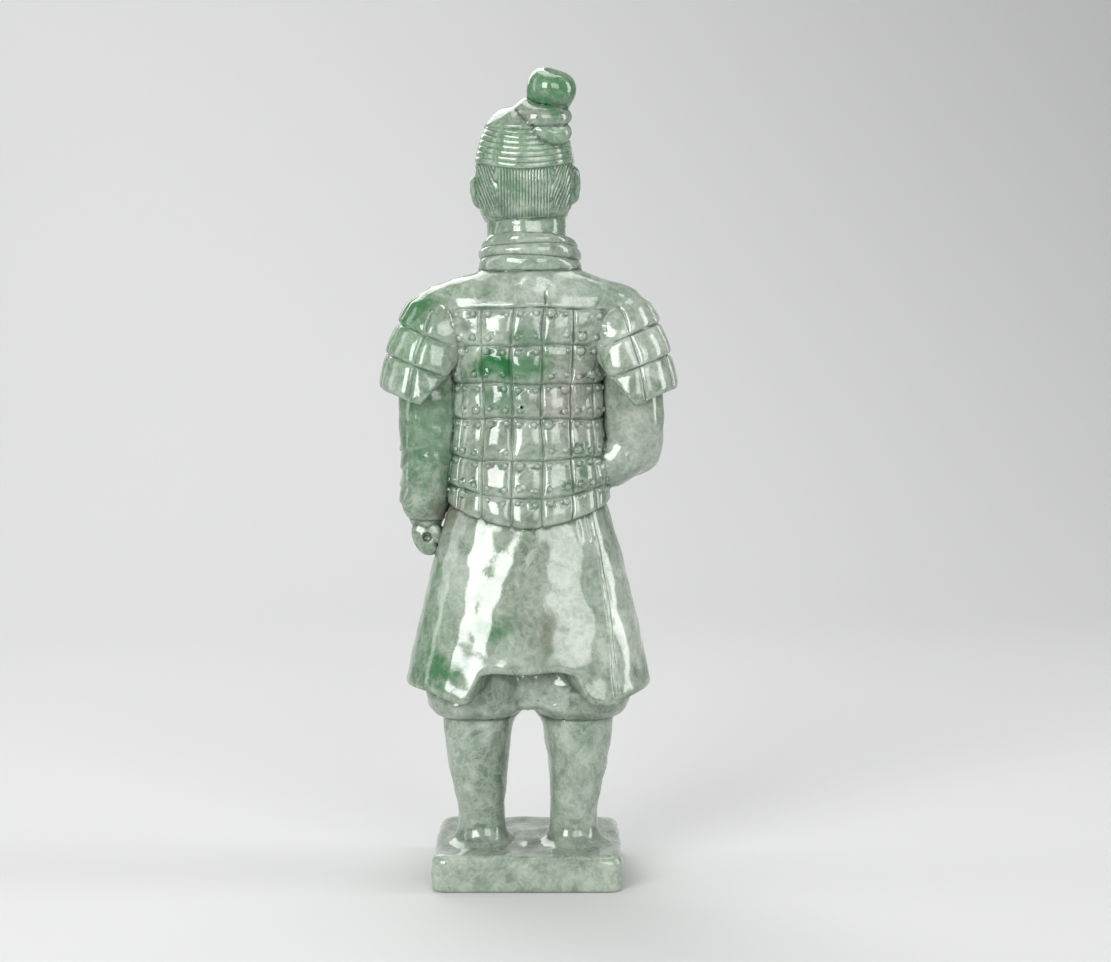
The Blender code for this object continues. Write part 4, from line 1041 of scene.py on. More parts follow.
def plinth():
    """The slab: a rounded square shrunk towards its middle on top and below, with rounded edges between.

    The top is rippled in low waves round the feet.
    """
    corner = PLINTH_CORNER
    w, d = PLINTH_HALF_WIDTH - corner, PLINTH_HALF_DEPTH - corner
    arc = np.linspace(0, np.pi / 2, 9)
    middles = [(w, d, 0.0), (-w, d, np.pi / 2), (-w, -d, np.pi), (w, -d, 3 * np.pi / 2)]
    turn = np.concatenate([arc + start for _, _, start in middles])
    cx = np.concatenate([np.full(len(arc), x) for x, _, _ in middles])
    cy = np.concatenate([np.full(len(arc), y) for _, y, _ in middles])
    outline = np.stack([cx + corner * np.cos(turn), cy + corner * np.sin(turn)], axis=1)
    out = np.stack([np.cos(turn), np.sin(turn)], axis=1)
    gap = np.linspace(0, 1, 17, endpoint=False)[1:]
    pieces, outs = [], []
    for i in range(4):
        j = len(arc) * (i + 1) - 1
        k = (j + 1) % len(outline)
        pieces += [outline[len(arc) * i : j + 1], outline[j] + (outline[k] - outline[j]) * gap[:, None]]
        outs += [out[len(arc) * i : j + 1], np.repeat(out[j : j + 1], len(gap), axis=0)]
    outline, out = np.concatenate(pieces), np.concatenate(outs)

    foot = np.linspace(0, np.pi / 2, 4)
    brim = np.linspace(0, np.pi / 2, 9)
    inset = np.concatenate([PLINTH_FOOT * (1 - np.sin(foot)), np.zeros(6), PLINTH_EDGE * (1 - np.cos(brim))])
    height = np.concatenate([
        PLINTH_FOOT * (1 - np.cos(foot)),
        np.linspace(PLINTH_FOOT, PLINTH_HEIGHT - PLINTH_EDGE, 8)[1:-1],
        PLINTH_HEIGHT - PLINTH_EDGE * (1 - np.sin(brim)),
    ])
    wall = outline[None] - out[None] * inset[:, None, None]
    wall = np.concatenate([wall, np.broadcast_to(height[:, None, None], wall.shape[:2] + (1,))], axis=2)
    shrink = np.linspace(1, 0.04, 30)[1:, None, None]
    coarse = shrink[::8][::-1]
    top_level = np.full((len(shrink), len(outline), 1), PLINTH_HEIGHT)
    under_level = np.zeros((len(coarse), len(outline), 1))
    top = np.concatenate([wall[-1:, :, :2] * shrink, top_level], axis=2)
    under = np.concatenate([wall[:1, :, :2] * coarse, under_level], axis=2)
    rings = np.concatenate([under, wall, top])
    x, y, z = np.moveaxis(rings, -1, 0)
    reach = np.maximum(np.abs(x) / PLINTH_HALF_WIDTH, np.abs(y) / PLINTH_HALF_DEPTH)
    ripple = 0.13 * np.sin(0.62 * x + 0.5 * np.sin(0.3 * y)) + 0.1 * np.sin(0.55 * y + 0.4 * x + 0.8)
    web = 1.1 * hump(x, 4.5) * (1 - eased(5, 13, np.abs(y - 1.0)))
    on_top = (z > PLINTH_HEIGHT - 0.01) * (1 - eased(0.84, 0.96, reach))
    rings[..., 2] += on_top * (ripple + web)
    rings[..., 2] -= PLINTH_HEIGHT
    return closed_skin(rings, (0, 0, -PLINTH_HEIGHT), (0, 0, 1.4))


def all_forms(cut):
    """Every form of the figure: its closed skin, its softness and if it is lined. Skins run into each other.

    Softness is how far from a seam the polish reaches, in millimetres. Where two lined forms meet, the crease
    holds a line of painted shade.
    """
    tight, soft, wide = 0.4, 0.9, 2.2
    forms = [(plinth(), wide, False), (trunk(cut), wide, True), (skirt(), tight, True)]
    forms.append((seat(), 2 * wide, False))
    forms += [(limb_skin, soft, True) for limb_skin in (arm_left(), arm_right(), wrist_left(), wrist_right())]
    forms.append((sleeve_drape(), 2 * wide, False))
    forms += [(collar(), tight, True), (neck(), soft, False), (head(), soft, False)]
    forms.append((hair_shell(cut), tight, True))
    forms += [(coil, tight, True) for coil in topknot()]
    for side in (LEFT, RIGHT):
        forms += [(trousers(side), soft, True), (leg(side), wide, True), (shoe(side), soft, False)]
        forms += [(guard(side, cut), wide, False), (ear(side), tight, True)]
    forms.append((fist(FIST_LEFT, (0, 1, 0), (1, 0, -0.5)), soft, True))
    forms.append((fist(FIST_RIGHT, (0, 0, 1), (1, 0, 0)), soft, True))
    forms.append((thumb((24.6, -4.6, 76.6), (0.2, 0.3, -1), (1, 0, 0)), soft, False))
    forms.append((thumb((-13.2, -21.6, 103.4), (0.6, -0.7, -0.25), (0, 0, 1)), soft, False))
    forms.append((rivets(cut), 0.0, False))
    return zip(*forms)


def mesh_from(name, points, triangles, numbers=None):
    """A mesh of triangles, filled with whole arrays."""
    mesh = bpy.data.meshes.new(name)
    mesh.vertices.add(len(points))
    mesh.vertices.foreach_set("co", np.ascontiguousarray(points, np.float32).ravel())
    mesh.loops.add(3 * len(triangles))
    mesh.loops.foreach_set("vertex_index", np.ascontiguousarray(triangles, np.int32).ravel())
    mesh.polygons.add(len(triangles))
    mesh.polygons.foreach_set("loop_start", np.arange(0, 3 * len(triangles), 3, dtype=np.int32))
    mesh.update(calc_edges=True)
    if numbers is not None:
        tag = mesh.attributes.new("form", "INT", "FACE")
        tag.data.foreach_set("value", np.full(len(triangles), numbers, np.int32))
    return mesh


def arrays_of(mesh):
    """Points, triangles and the number of the form that each triangle comes from."""
    mesh.calc_loop_triangles()
    points = np.empty(3 * len(mesh.vertices), np.float32)
    mesh.vertices.foreach_get("co", points)
    triangles = np.empty(3 * len(mesh.loop_triangles), np.int32)
    mesh.loop_triangles.foreach_get("vertices", triangles)
    owner = np.empty(len(mesh.loop_triangles), np.int32)
    mesh.loop_triangles.foreach_get("polygon_index", owner)
    form = np.zeros(len(mesh.polygons), np.int32)
    if "form" in mesh.attributes:
        mesh.attributes["form"].data.foreach_get("value", form)
    return points.reshape(-1, 3).astype(float), triangles.reshape(-1, 3), form[owner]


def united(forms):
    """One closed skin round all the forms, with what lies inside taken away."""
    scratch = bpy.data.collections.new("forms")
    bpy.context.scene.collection.children.link(scratch)
    objects = []
    for number, (points, triangles) in enumerate(forms):
        mesh = mesh_from("form", points, triangles, number)
        form = bpy.data.objects.new("form", mesh)
        objects.append(form)
        if number:
            scratch.objects.link(form)
    stone = objects[0]
    bpy.context.scene.collection.objects.link(stone)
    union = stone.modifiers.new("union", "BOOLEAN")
    union.operation = "UNION"
    union.operand_type = "COLLECTION"
    union.collection = scratch
    union.solver = "MANIFOLD"
    evaluated = stone.evaluated_get(bpy.context.evaluated_depsgraph_get())
    result = arrays_of(evaluated.to_mesh())
    evaluated.to_mesh_clear()
    for form in objects:
        mesh = form.data
        bpy.data.objects.remove(form)
        bpy.data.meshes.remove(mesh)
    bpy.data.collections.remove(scratch)
    return result


def edges_of(triangles):
    """Each edge once, and for each of its first two triangles the triangle's number."""
    count = len(triangles)
    pairs = np.concatenate([triangles[:, [0, 1]], triangles[:, [1, 2]], triangles[:, [2, 0]]])
    pairs = np.sort(pairs, axis=1)
    owner = np.tile(np.arange(count), 3)
    key = pairs[:, 0].astype(np.int64) * (triangles.max() + 1) + pairs[:, 1]
    order = np.argsort(key, kind="stable")
    key, pairs, owner = key[order], pairs[order], owner[order]
    first = np.flatnonzero(np.concatenate([[True], key[1:] != key[:-1]]))
    partner = np.minimum(first + 1, len(key) - 1)
    return pairs[first], owner[first], owner[partner]


def neighbour_mean(values, edges, weights):
    """For each point, the mean of its neighbours' values, weighted by edge."""
    count = len(values)
    a, b = edges.T
    total = np.bincount(a, weights, count) + np.bincount(b, weights, count)
    columns = [
        np.bincount(a, weights * column[b], count) + np.bincount(b, weights * column[a], count)
        for column in values.T
    ]
    return np.stack(columns, axis=1) / np.maximum(total, 1e-12)[:, None]


def point_normals(points, triangles):
    """Outward direction at each point: the sum of its triangles' cross products, made unit length."""
    p, q, r = (points[triangles[:, i]] for i in range(3))
    face = np.cross(q - p, r - p)
    total = np.stack([
        sum(np.bincount(triangles[:, i], face[:, axis], len(points)) for i in range(3)) for axis in range(3)
    ], axis=1)
    return total / np.maximum(np.linalg.norm(total, axis=1, keepdims=True), 1e-12)


def near_seams(points, edges, seam, reach):
    """Distance of each point from the nearest seam, walked along the edges, as far as reach."""
    length = np.linalg.norm(points[edges[:, 0]] - points[edges[:, 1]], axis=1)
    far = np.where(seam, 0.0, reach * 2)
    for _ in range(14):
        step = far.copy()
        np.minimum.at(step, edges[:, 0], far[edges[:, 1]] + length)
        np.minimum.at(step, edges[:, 1], far[edges[:, 0]] + length)
        far = step
    return far


def polished(points, triangles, form, softness):
    """Creases between two forms drawn towards their neighbours' mean, most at the seam and not beyond reach.

    The reach of a seam is the smaller softness of its two forms, or half the larger where that is above
    LONG_SOFTNESS. A form of no softness stays crisp.
    """
    edges, one, other = edges_of(triangles)
    softness = np.asarray(softness)
    less, more = np.sort([softness[form[one]], softness[form[other]]], axis=0)
    shared = np.where(more > LONG_SOFTNESS, more / 2, less)
    reach = np.where((form[one] != form[other]) & (less > 0), shared, 0.0)
    still = np.zeros(len(points), bool)
    still[triangles[softness[form] == 0].ravel()] = True
    for step in np.unique(reach[reach > 0]):
        seam = np.zeros(len(points), bool)
        seam[edges[reach == step].ravel()] = True
        far = near_seams(points, edges, seam, step)
        pull = np.where(still, 0.0, 0.6 * (1 - eased(0.1 * step, step, far)))
        length = np.linalg.norm(points[edges[:, 0]] - points[edges[:, 1]], axis=1)
        weights = 1 / np.maximum(length, 0.08)
        for _ in range(int(4 + 12 * step)):
            points = points + pull[:, None] * (neighbour_mean(points, edges, weights) - points)
    return points, edges


def seam_shade(points, triangles, form, lined):
    """A line of painted shade along each seam between two lined forms: 1 at the seam, falling to 0 within 0.6
    mm.
    """
    edges, one, other = edges_of(triangles)
    lined = np.asarray(lined)
    seam = np.zeros(len(points), bool)
    seam[edges[(form[one] != form[other]) & lined[form[one]] & lined[form[other]]].ravel()] = True
    return 1 - eased(0.05, 0.6, near_seams(points, edges, seam, 0.7))


def hand_waves(points, amount):
    """Slow waves over the stone: a sum of sines along three slanted directions, nothing below the foot."""
    x, y, z = points.T
    wave = (
        np.sin(0.41 * x + 0.23 * y + 0.31 * z)
        + 0.8 * np.sin(0.77 * x - 0.52 * y + 0.19 * z + 1.3)
        + 0.7 * np.sin(-0.35 * x + 0.61 * y + 0.83 * z + 2.1)
        + 0.2 * np.sin(1.2 * x + 0.7 * y - 0.9 * z + 1.6 * np.sin(0.37 * z + 0.29 * x))
    )
    return amount * wave * eased(-PLINTH_HEIGHT + 0.3, -PLINTH_HEIGHT + 2.0, z)


# The depth found here sets how much painted shade and dirt a cut gets
def hollows(points, triangles, edges):
    """How deep each point lies in a cut: its surroundings' mean less the point, along its normal.

    It is taken at two reaches. The mean spreads at the same rate over fine and coarse triangles, because
    the pull falls with edge length squared.
    """
    normals = point_normals(points, triangles)
    length = np.linalg.norm(points[edges[:, 0]] - points[edges[:, 1]], axis=1)
    weights = 1 / np.maximum(length, 0.1)
    ends = edges.ravel()
    typical = np.bincount(ends, np.repeat(length, 2), len(points)) / np.bincount(ends, minlength=len(points))
    pull = 0.7 * np.clip((0.3 / typical) ** 2, 0, 1)[:, None]
    smooth = points
    depths = []
    for rounds in (4, 20):
        for _ in range(rounds):
            smooth = smooth + pull * (neighbour_mean(smooth, edges, weights) - smooth)
        depths.append(np.einsum("ij,ij->i", smooth - points, normals))
    return np.clip(depths[0] / 0.08, -1, 1) * 0.5 + np.clip(depths[1] / 0.22, -1, 1) * 0.5


class Shading:
    """Places nodes in a tree and joins them by plain calls."""

    def __init__(self, tree):
        self.tree = tree

    def add(self, kind, inputs=(), **settings):
        """A new node, with each input joined to a socket or given a value."""
        node = self.tree.nodes.new(kind)
        for key, value in settings.items():
            setattr(node, key, value)
        for key, value in dict(inputs).items():
            if isinstance(value, bpy.types.NodeSocket):
                self.tree.links.new(value, node.inputs[key])
            else:
                node.inputs[key].default_value = value
        return node

    def maths(self, operation, *values):
        """One sum of sockets or numbers."""
        node = self.add("ShaderNodeMath", dict(enumerate(values)), operation=operation)
        return node.outputs[0]

    def ramp(self, value, low, high):
        """0 at low, 1 at high, and smooth between."""
        given = {"Value": value, "From Min": low, "From Max": high}
        node = self.add("ShaderNodeMapRange", given, interpolation_type="SMOOTHSTEP")
        return node.outputs[0]

    def mix(self, share, first, second):
        """The first colour at share 0 and the second at share 1."""
        node = self.tree.nodes.new("ShaderNodeMix")
        node.data_type = "RGBA"
        for socket, value in ((node.inputs[0], share), (node.inputs[6], first), (node.inputs[7], second)):
            if isinstance(value, bpy.types.NodeSocket):
                self.tree.links.new(value, socket)
            elif np.ndim(value):
                socket.default_value = (*value[:3], 1.0)
            else:
                socket.default_value = value
        return node.outputs[2]


def new_group(name, inputs, outputs):
    """An empty node group with named sockets: its tree, input sockets and output node."""
    group = bpy.data.node_groups.new(name, "ShaderNodeTree")
    for label, kind, default in inputs:
        socket = group.interface.new_socket(label, in_out="INPUT", socket_type=kind)
        if default is not None:
            socket.default_value = default
    for label, kind in outputs:
        group.interface.new_socket(label, in_out="OUTPUT", socket_type=kind)
    return group, group.nodes.new("NodeGroupInput").outputs, group.nodes.new("NodeGroupOutput").inputs


def clouds_group():
    """Cloudy mottling: large clouds bent by a second noise, small clouds, and thin wisps.

    A wisp lies where the small clouds' noise is near its middle value.
    """
    group, given, out = new_group(
        "jade_clouds",
        [
            ("Place", "NodeSocketVector", None),
            ("Size", "NodeSocketFloat", 0.012),
            ("Bend", "NodeSocketFloat", 0.6),
        ],
        [("Clouds", "NodeSocketFloat"), ("Wisps", "NodeSocketFloat"), ("Grain", "NodeSocketFloat")],
    )
    put = Shading(group)
    scale = put.maths("DIVIDE", 1.0, given["Size"])
    bend = put.add("ShaderNodeTexNoise", {"Vector": given["Place"], "Scale": scale, "Detail": 3.0})
    centred = {0: bend.outputs["Color"], 1: (0.5, 0.5, 0.5)}
    away = put.add("ShaderNodeVectorMath", centred, operation="SUBTRACT")
    amount = put.maths("MULTIPLY", given["Bend"], given["Size"])
    away = put.add("ShaderNodeVectorMath", {0: away.outputs[0], "Scale": amount}, operation="SCALE")
    moved = put.add("ShaderNodeVectorMath", {0: given["Place"], 1: away.outputs[0]}, operation="ADD")
    place = moved.outputs[0]
    large = put.add("ShaderNodeTexNoise", {"Vector": place, "Scale": scale, "Detail": 5.0, "Roughness": 0.62})
    small_scale = put.maths("MULTIPLY", scale, 4.3)
    small = {"Vector": place, "Scale": small_scale, "Detail": 4.0, "Roughness": 0.6}
    small = put.add("ShaderNodeTexNoise", small)
    grain_scale = put.maths("MULTIPLY", scale, 15.0)
    grain = {"Vector": place, "Scale": grain_scale, "Detail": 2.0, "Roughness": 0.6}
    grain = put.add("ShaderNodeTexNoise", grain)
    both = put.maths("ADD", large.outputs[0], put.maths("MULTIPLY", small.outputs[0], 0.45))
    put.tree.links.new(put.ramp(both, 0.52, 0.92), out["Clouds"])
    middle = put.maths("ABSOLUTE", put.maths("SUBTRACT", small.outputs[0], 0.5))
    put.tree.links.new(put.ramp(middle, 0.085, 0.0), out["Wisps"])
    put.tree.links.new(grain.outputs[0], out["Grain"])
    return group


def patch_group():
    """A ragged patch: 1 at a centre, falling to 0 at the given half sizes, its edge moved by the push."""
    group, given, out = new_group(
        "jade_patch",
        [
            ("Place", "NodeSocketVector", None),
            ("Centre", "NodeSocketVector", (0.0, 0.0, 0.0)),
            ("Half sizes", "NodeSocketVector", (0.01, 0.02, 0.01)),
            ("Push", "NodeSocketFloat", 0.0),
        ],
        [("Mask", "NodeSocketFloat")],
    )
    put = Shading(group)
    away = put.add("ShaderNodeVectorMath", {0: given["Place"], 1: given["Centre"]}, operation="SUBTRACT")
    share = {0: away.outputs[0], 1: given["Half sizes"]}
    share = put.add("ShaderNodeVectorMath", share, operation="DIVIDE").outputs[0]
    distance = put.add("ShaderNodeVectorMath", {0: share}, operation="LENGTH").outputs["Value"]
    put.tree.links.new(put.ramp(put.maths("ADD", distance, given["Push"]), 1.15, 0.25), out["Mask"])
    return group


# Where the stone is strongly green, greyish or stained: centre and half sizes in millimetres above the soles
EMERALD_PATCHES = (
    ((7.2, 13.0, 118.6), (8.0, 10.0, 5.6), 1.0),
    ((0.8, 13.0, 118.2), (7.5, 10.0, 6.0), 0.75),
    ((6.7, 13.0, 110.4), (6.0, 9.0, 5.4), 0.55),
    ((-0.2, 13.0, 125.2), (6.0, 8.0, 3.0), 0.7),
    ((28.0, 4.0, 133.0), (8.5, 12.0, 7.0), 0.8),
    ((25.0, 4.0, 104.0), (10.0, 12.0, 19.0), 0.6),
    ((19.0, 14.0, 44.0), (10.0, 9.0, 6.0), 0.8),
    ((7.0, 16.0, 54.0), (6.0, 8.0, 4.5), 0.6),
    ((-6.5, 8.0, 182.6), (7.5, 9.0, 5.0), 0.75),
    ((-5.9, 6.0, 186.5), (10.0, 11.0, 10.0), 0.5),
    ((10.0, -18.0, 60.0), (10.0, 9.0, 13.0), 0.7),
    ((-9.0, -13.0, 122.0), (9.0, 8.0, 8.0), 0.7),
    ((4.0, -20.0, 90.0), (6.0, 8.0, 5.0), 0.5),
)
LEAF_PATCHES = (
    ((0.7, 0.0, 168.0), (19.0, 21.0, 20.0), 0.85),
    ((-5.9, 6.0, 187.5), (11.0, 12.0, 10.0), 0.9),
    ((27.0, 5.0, 122.0), (11.0, 14.0, 13.0), 0.6),
    ((25.0, 12.0, 58.0), (10.0, 12.0, 24.0), 0.35),
    ((0.0, 10.0, 144.0), (9.0, 8.0, 3.0), 0.3),
)
MIST_PATCHES = (
    ((-27.0, 5.0, 122.0), (11.0, 13.0, 13.0), 0.95),
    ((-3.0, 11.0, 137.0), (20.0, 8.0, 5.5), 0.6),
    ((0.0, 6.0, 146.0), (18.0, 16.0, 6.0), 0.4),
    ((-25.0, 12.0, 58.0), (10.0, 13.0, 22.0), 1.0),
    ((16.0, 16.0, 67.0), (5.0, 6.0, 12.0), 0.5),
    ((-20.0, 20.0, -4.0), (9.0, 9.0, 6.0), 0.5),
    ((-27.0, 4.0, 102.0), (9.0, 11.0, 12.0), 0.6),
)
MOSS_PATCHES = (
    ((7.0, 14.0, 38.5), (9.0, 9.0, 5.0), 0.6),
    ((-10.0, 14.0, 38.5), (6.0, 9.0, 4.0), 0.25),
    ((12.0, 6.0, 22.0), (8.0, 9.0, 17.0), 0.5),
    ((27.0, 12.0, 54.0), (8.0, 10.0, 20.0), 0.25),
)
LILAC_PATCHES = (
    ((-11.0, 12.0, 110.5), (9.5, 10.0, 13.5), 0.8),
    ((-26.0, 2.0, 108.0), (8.0, 10.0, 12.0), 0.55),
    ((-2.0, 17.0, 62.0), (9.0, 8.0, 16.0), 0.3),
    ((14.0, -16.0, 100.0), (9.0, 8.0, 14.0), 0.6),
    ((0.5, 13.0, 179.5), (6.5, 7.0, 4.5), 0.7),
)
BROWN_PATCHES = (
    ((-4.0, 18.0, 53.0), (4.5, 6.0, 7.0), 0.4),
    ((19.5, 8.0, 82.0), (5.0, 11.0, 5.0), 0.6),
    ((8.6, 14.0, 91.5), (2.2, 4.0, 4.6), 0.4),
    ((-21.0, 14.0, 56.0), (0.6, 3.0, 1.2), 0.9),
)


def jadeite(colours):
    """Polished jadeite: clouded pale green with placed patches and wisps, and painted shade and dirt
    darkening the cuts.

    Light goes a little way into it before it comes out again.
    """
    material = bpy.data.materials.new("jadeite")
    material.use_nodes = True
    put = Shading(material.node_tree)
    shader = material.node_tree.nodes["Principled BSDF"]
    place = put.add("ShaderNodeTexCoord").outputs["Object"]
    clouds, patch = clouds_group(), patch_group()
    ragged = {"Vector": place, "Scale": 250.0, "Detail": 4.0, "Roughness": 0.62}
    ragged = put.add("ShaderNodeTexNoise", ragged)
    push = put.maths("MULTIPLY", put.maths("SUBTRACT", ragged.outputs[0], 0.5), 1.9)

    def cloudy(size, bend, offset):
        """The clouds at one size, moved so that they don't repeat another's."""
        moved = put.add("ShaderNodeMapping", {"Vector": place, "Location": offset})
        return put.add(
            "ShaderNodeGroup", {"Place": moved.outputs[0], "Size": size, "Bend": bend}, node_tree=clouds
        ).outputs

    def patches(table):
        """The strongest of a table's patches at each point."""
        total = None
        for centre, half, strength in table:
            centre = Vector(centre) * FIGURE_SCALE + Vector((0, 0, PLINTH_HEIGHT))
            node = put.tree.nodes.new("ShaderNodeGroup")
            node.node_tree = patch
            put.tree.links.new(place, node.inputs["Place"])
            put.tree.links.new(push, node.inputs["Push"])
            node.inputs["Centre"].default_value = centre / 1000
            node.inputs["Half sizes"].default_value = Vector(half) / 1000
            mask = put.maths("MULTIPLY", node.outputs[0], strength)
            total = mask if total is None else put.maths("MAXIMUM", total, mask)
        return total

    ground = cloudy(0.012, 0.9, (0.0, 0.0, 0.0))
    mist = cloudy(0.021, 0.7, (0.31, 0.12, 0.57))
    fine = cloudy(0.0048, 1.2, (0.77, 0.41, 0.23))
    colour = put.mix(put.maths("MULTIPLY", ground["Clouds"], 0.8), colours.pale, colours.moss)
    colour = put.mix(put.maths("MULTIPLY", mist["Clouds"], 0.6), colour, colours.mist)
    colour = put.mix(patches(MIST_PATCHES), colour, colours.mist)
    colour = put.mix(patches(MOSS_PATCHES), colour, colours.moss)
    colour = put.mix(patches(LEAF_PATCHES), colour, colours.leaf)
    colour = put.mix(patches(LILAC_PATCHES), colour, colours.lilac)
    colour = put.mix(put.maths("MULTIPLY", fine["Clouds"], 0.45), colour, colours.moss)
    colour = put.mix(put.maths("MULTIPLY", ground["Wisps"], 0.24), colour, colours.mist)
    colour = put.mix(patches(EMERALD_PATCHES), colour, colours.emerald)
    colour = put.mix(patches(BROWN_PATCHES), colour, colours.brown)
    specks = put.ramp(fine["Grain"], 0.64, 0.74)
    colour = put.mix(put.maths("MULTIPLY", specks, 0.22), colour, colours.moss)
    # Painted shade and dirt: the cuts, by their depth, and the lined seams are darkened towards the cut shade
    # colour
    hollow = put.add("ShaderNodeAttribute", attribute_name="hollow").outputs["Fac"]
    colour = put.mix(put.maths("MULTIPLY", put.ramp(hollow, 0.02, 0.6), 0.8), colour, colours.cut_shade_and_dirt)
    material.node_tree.links.new(colour, shader.inputs["Base Color"])

    rough = put.maths("ADD", 0.07, put.maths("MULTIPLY", put.ramp(hollow, 0.1, 0.9), 0.25))
    rough = put.maths("ADD", rough, put.maths("MULTIPLY", fine["Grain"], 0.05))
    material.node_tree.links.new(rough, shader.inputs["Roughness"])
    height = put.maths("ADD", put.maths("MULTIPLY", ground["Grain"], 0.5), mist["Clouds"])
    bump = put.add("ShaderNodeBump", {"Height": height, "Strength": 0.05, "Distance": 0.0006})
    material.node_tree.links.new(bump.outputs[0], shader.inputs["Normal"])
    shader.inputs["IOR"].default_value = 1.66
    shader.inputs["Subsurface Weight"].default_value = 0.35
    shader.inputs["Subsurface Radius"].default_value = (0.7, 1.0, 0.7)
    shader.inputs["Subsurface Scale"].default_value = 0.0022
    return material


def carve(cut, colours):
    """The whole carving as one piece."""
    forms, softness, lined = all_forms(cut)
    points, triangles, form = united(forms)
    points, edges = polished(points, triangles, form, softness)
    wave = hand_waves(points, cut.unevenness)
    points = points + point_normals(points, triangles) * wave[:, None]
    # Painted shade and dirt in the cuts, from their depth, and painted shade along the lined seams; the same
    # values also roughen the surface
    hollow = hollows(points, triangles, edges)
    hollow = np.maximum(hollow, SEAM_SHADE_DARKNESS * seam_shade(points, triangles, form, lined))
    points[points[:, 2] > 0, 2] *= FIGURE_SCALE
    points[:, 2] += PLINTH_HEIGHT
    mesh = mesh_from("soldier_carving", points / 1000, triangles)
    tint = mesh.attributes.new("hollow", "FLOAT", "POINT")
    tint.data.foreach_set("value", hollow.astype(np.float32))
    mesh.shade_smooth()
    mesh.materials.append(jadeite(colours))
    piece = bpy.data.objects.new("soldier_carving", mesh)
    bpy.context.scene.collection.objects.link(piece)
    return piece


class OBJECT_OT_carve_soldier(bpy.types.Operator):
    """Carve the soldier and its plinth as one stone and polish it"""

    bl_idname = "object.carve_soldier"
    bl_label = "Carve soldier"

    def execute(self, context):
        cut = context.scene.soldier_carving
        names = CarvingSizes.__annotations__
        in_mm = SimpleNamespace(**{name: getattr(cut, name) * 1000 for name in names})
        piece = carve(in_mm, context.scene.soldier_colours)
        if len(piece.data.polygons) > MOST_TRIANGLES:
            raise RuntimeError("The carving has more than 200,000 triangles")
        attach(piece, "root")
        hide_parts(NODE)
        return {"FINISHED"}


def floor_sheet(colour):
    """A wide level floor that rises in a quarter round far beyond the figure, as the camera sees it."""
    flat, round_off, height = 0.5, 0.6, 1.6
    turn = np.linspace(0, np.pi / 2, 17)
    y = np.concatenate([[2.0], -flat - round_off * np.sin(turn), [-flat - round_off]])
    z = np.concatenate([[0.0], round_off * (1 - np.cos(turn)), [round_off + height]])
    x = np.array([-4.0, 4.0])
    grid = np.stack([np.tile(x, len(y)), np.repeat(y, 2), np.repeat(z, 2)], axis=1)
    low = 2 * np.arange(len(y) - 1)
    triangles = np.concatenate([
        np.stack([low, low + 2, low + 1], axis=1), np.stack([low + 1, low + 2, low + 3], axis=1)])
    mesh = mesh_from("floor", grid, triangles)
    mesh.shade_smooth()
    material = bpy.data.materials.new("floor")
    material.use_nodes = True
    put = Shading(material.node_tree)
    shader = material.node_tree.nodes["Principled BSDF"]
    place = put.add("ShaderNodeTexCoord").outputs["Object"]
    noise = put.add("ShaderNodeTexNoise", {"Vector": place, "Scale": 3.0, "Detail": 3.0})
    tone = put.mix(put.maths("MULTIPLY", noise.outputs[0], 0.12), colour, (0.50, 0.505, 0.50))
    material.node_tree.links.new(tone, shader.inputs["Base Color"])
    shader.inputs["Roughness"].default_value = 0.75
    mesh.materials.append(material)
    floor = bpy.data.objects.new("floor", mesh)
    bpy.context.scene.collection.objects.link(floor)


# Name, azimuth and elevation in degrees, distance and size in metres, the studio value and the share of it
SOFT_BOXES = (
    ("left_box", 30, 19, 1.1, (0.56, 0.62), "left_watts", 1.0),
    ("right_box", -24, 19, 1.1, (0.60, 0.62), "right_watts", 1.0),
    ("top_box", 180, 78, 0.9, (0.7, 0.7), "top_watts", 1.0),
    ("right_strip", -88, 20, 0.9, (0.25, 0.8), "side_watts", 1.0),
    ("left_strip", 92, 20, 0.9, (0.2, 0.8), "side_watts", 0.35),
    ("front_box", 160, 35, 1.2, (0.8, 0.8), "top_watts", 1.3),
)


def soft_box(name, azimuth, elevation, distance, size, watts):
    """A soft box aimed at the figure. Azimuth is from behind the figure towards its left, in degrees."""
    light = bpy.data.lights.new(name, "AREA")
    light.shape = "RECTANGLE"
    light.size, light.size_y = size
    light.energy = watts
    lamp = bpy.data.objects.new(name, light)
    bpy.context.scene.collection.objects.link(lamp)
    a, e = np.radians(azimuth), np.radians(elevation)
    aim = Vector((0, 0, 0.1))
    away = Vector((np.sin(a) * np.cos(e), np.cos(a) * np.cos(e), np.sin(e)))
    lamp.location = aim + away * distance
    lamp.rotation_euler = away.to_track_quat("Z", "Y").to_euler()


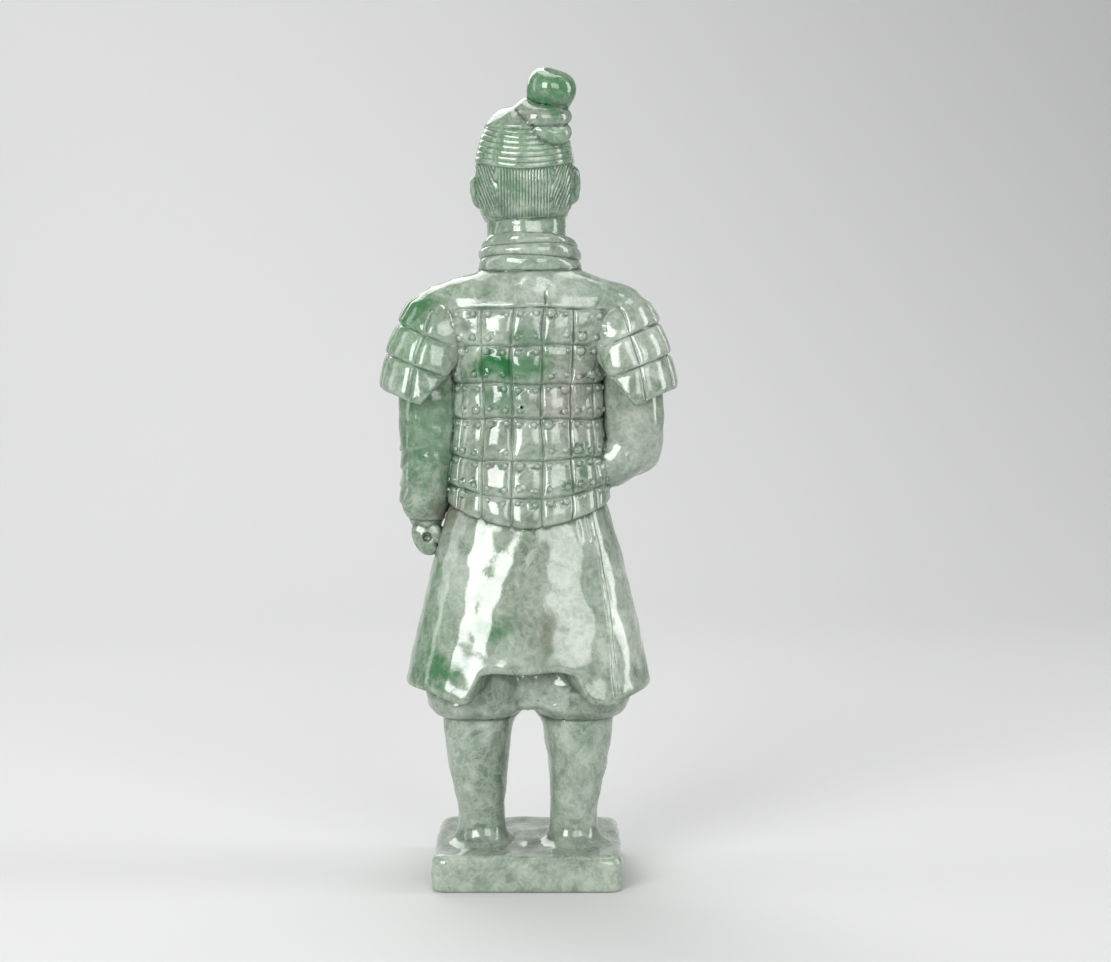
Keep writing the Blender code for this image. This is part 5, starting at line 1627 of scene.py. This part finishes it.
class OBJECT_OT_set_stage(bpy.types.Operator):
    """Set the floor, the soft boxes and the camera"""

    bl_idname = "object.set_soldier_stage"
    bl_label = "Set stage"

    def execute(self, context):
        values = context.scene.soldier_studio
        floor_sheet(values.floor)
        for name, azimuth, elevation, distance, size, watts, share in SOFT_BOXES:
            soft_box(name, azimuth, elevation, distance, size, getattr(values, watts) * share)
        world = bpy.data.worlds.new("studio")
        world.use_nodes = True
        background = world.node_tree.nodes["Background"]
        background.inputs["Color"].default_value = (0.9, 0.93, 0.96, 1.0)
        background.inputs["Strength"].default_value = values.world
        context.scene.world = world
        lens = bpy.data.cameras.new("camera")
        lens.sensor_width = CAMERA_SENSOR
        lens.lens = CAMERA_LENS
        lens.clip_start = 0.01
        camera = bpy.data.objects.new("camera", lens)
        context.scene.collection.objects.link(camera)
        camera.location = CAMERA_PLACE
        camera.rotation_euler = (np.pi / 2 - np.radians(CAMERA_PITCH), 0, np.pi)
        context.scene.camera = camera
        context.scene.view_settings.view_transform = "Standard"
        return {"FINISHED"}


class VIEW3D_PT_soldier(bpy.types.Panel):
    """Sizes, colours and steps of the jadeite soldier"""

    bl_label = "Soldier"
    bl_space_type = "VIEW_3D"
    bl_region_type = "UI"
    bl_category = "Soldier"

    def draw(self, context):
        groups = (
            (context.scene.soldier_carving, OBJECT_OT_carve_soldier),
            (context.scene.soldier_colours, None),
            (context.scene.soldier_studio, OBJECT_OT_set_stage),
        )
        for values, operator in groups:
            box = self.layout.box()
            for name in type(values).__annotations__:
                box.prop(values, name)
            if operator:
                box.operator(operator.bl_idname)


CLASSES = (
    CarvingSizes,
    JadeColours,
    StudioValues,
    OBJECT_OT_carve_soldier,
    OBJECT_OT_set_stage,
    VIEW3D_PT_soldier,
)


def register():
    """Make the panel, the operators and their values known."""
    for cls in CLASSES:
        bpy.utils.register_class(cls)
    bpy.types.Scene.soldier_carving = PointerProperty(type=CarvingSizes)
    bpy.types.Scene.soldier_colours = PointerProperty(type=JadeColours)
    bpy.types.Scene.soldier_studio = PointerProperty(type=StudioValues)


def unregister():
    """Take the panel, the operators and their values away again."""
    del bpy.types.Scene.soldier_carving
    del bpy.types.Scene.soldier_colours
    del bpy.types.Scene.soldier_studio
    for cls in reversed(CLASSES):
        bpy.utils.unregister_class(cls)


def main():
    """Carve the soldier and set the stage."""
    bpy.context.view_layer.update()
    register()
    bpy.ops.object.carve_soldier()
    bpy.ops.object.set_soldier_stage()


if __name__ == "__main__":
    main()
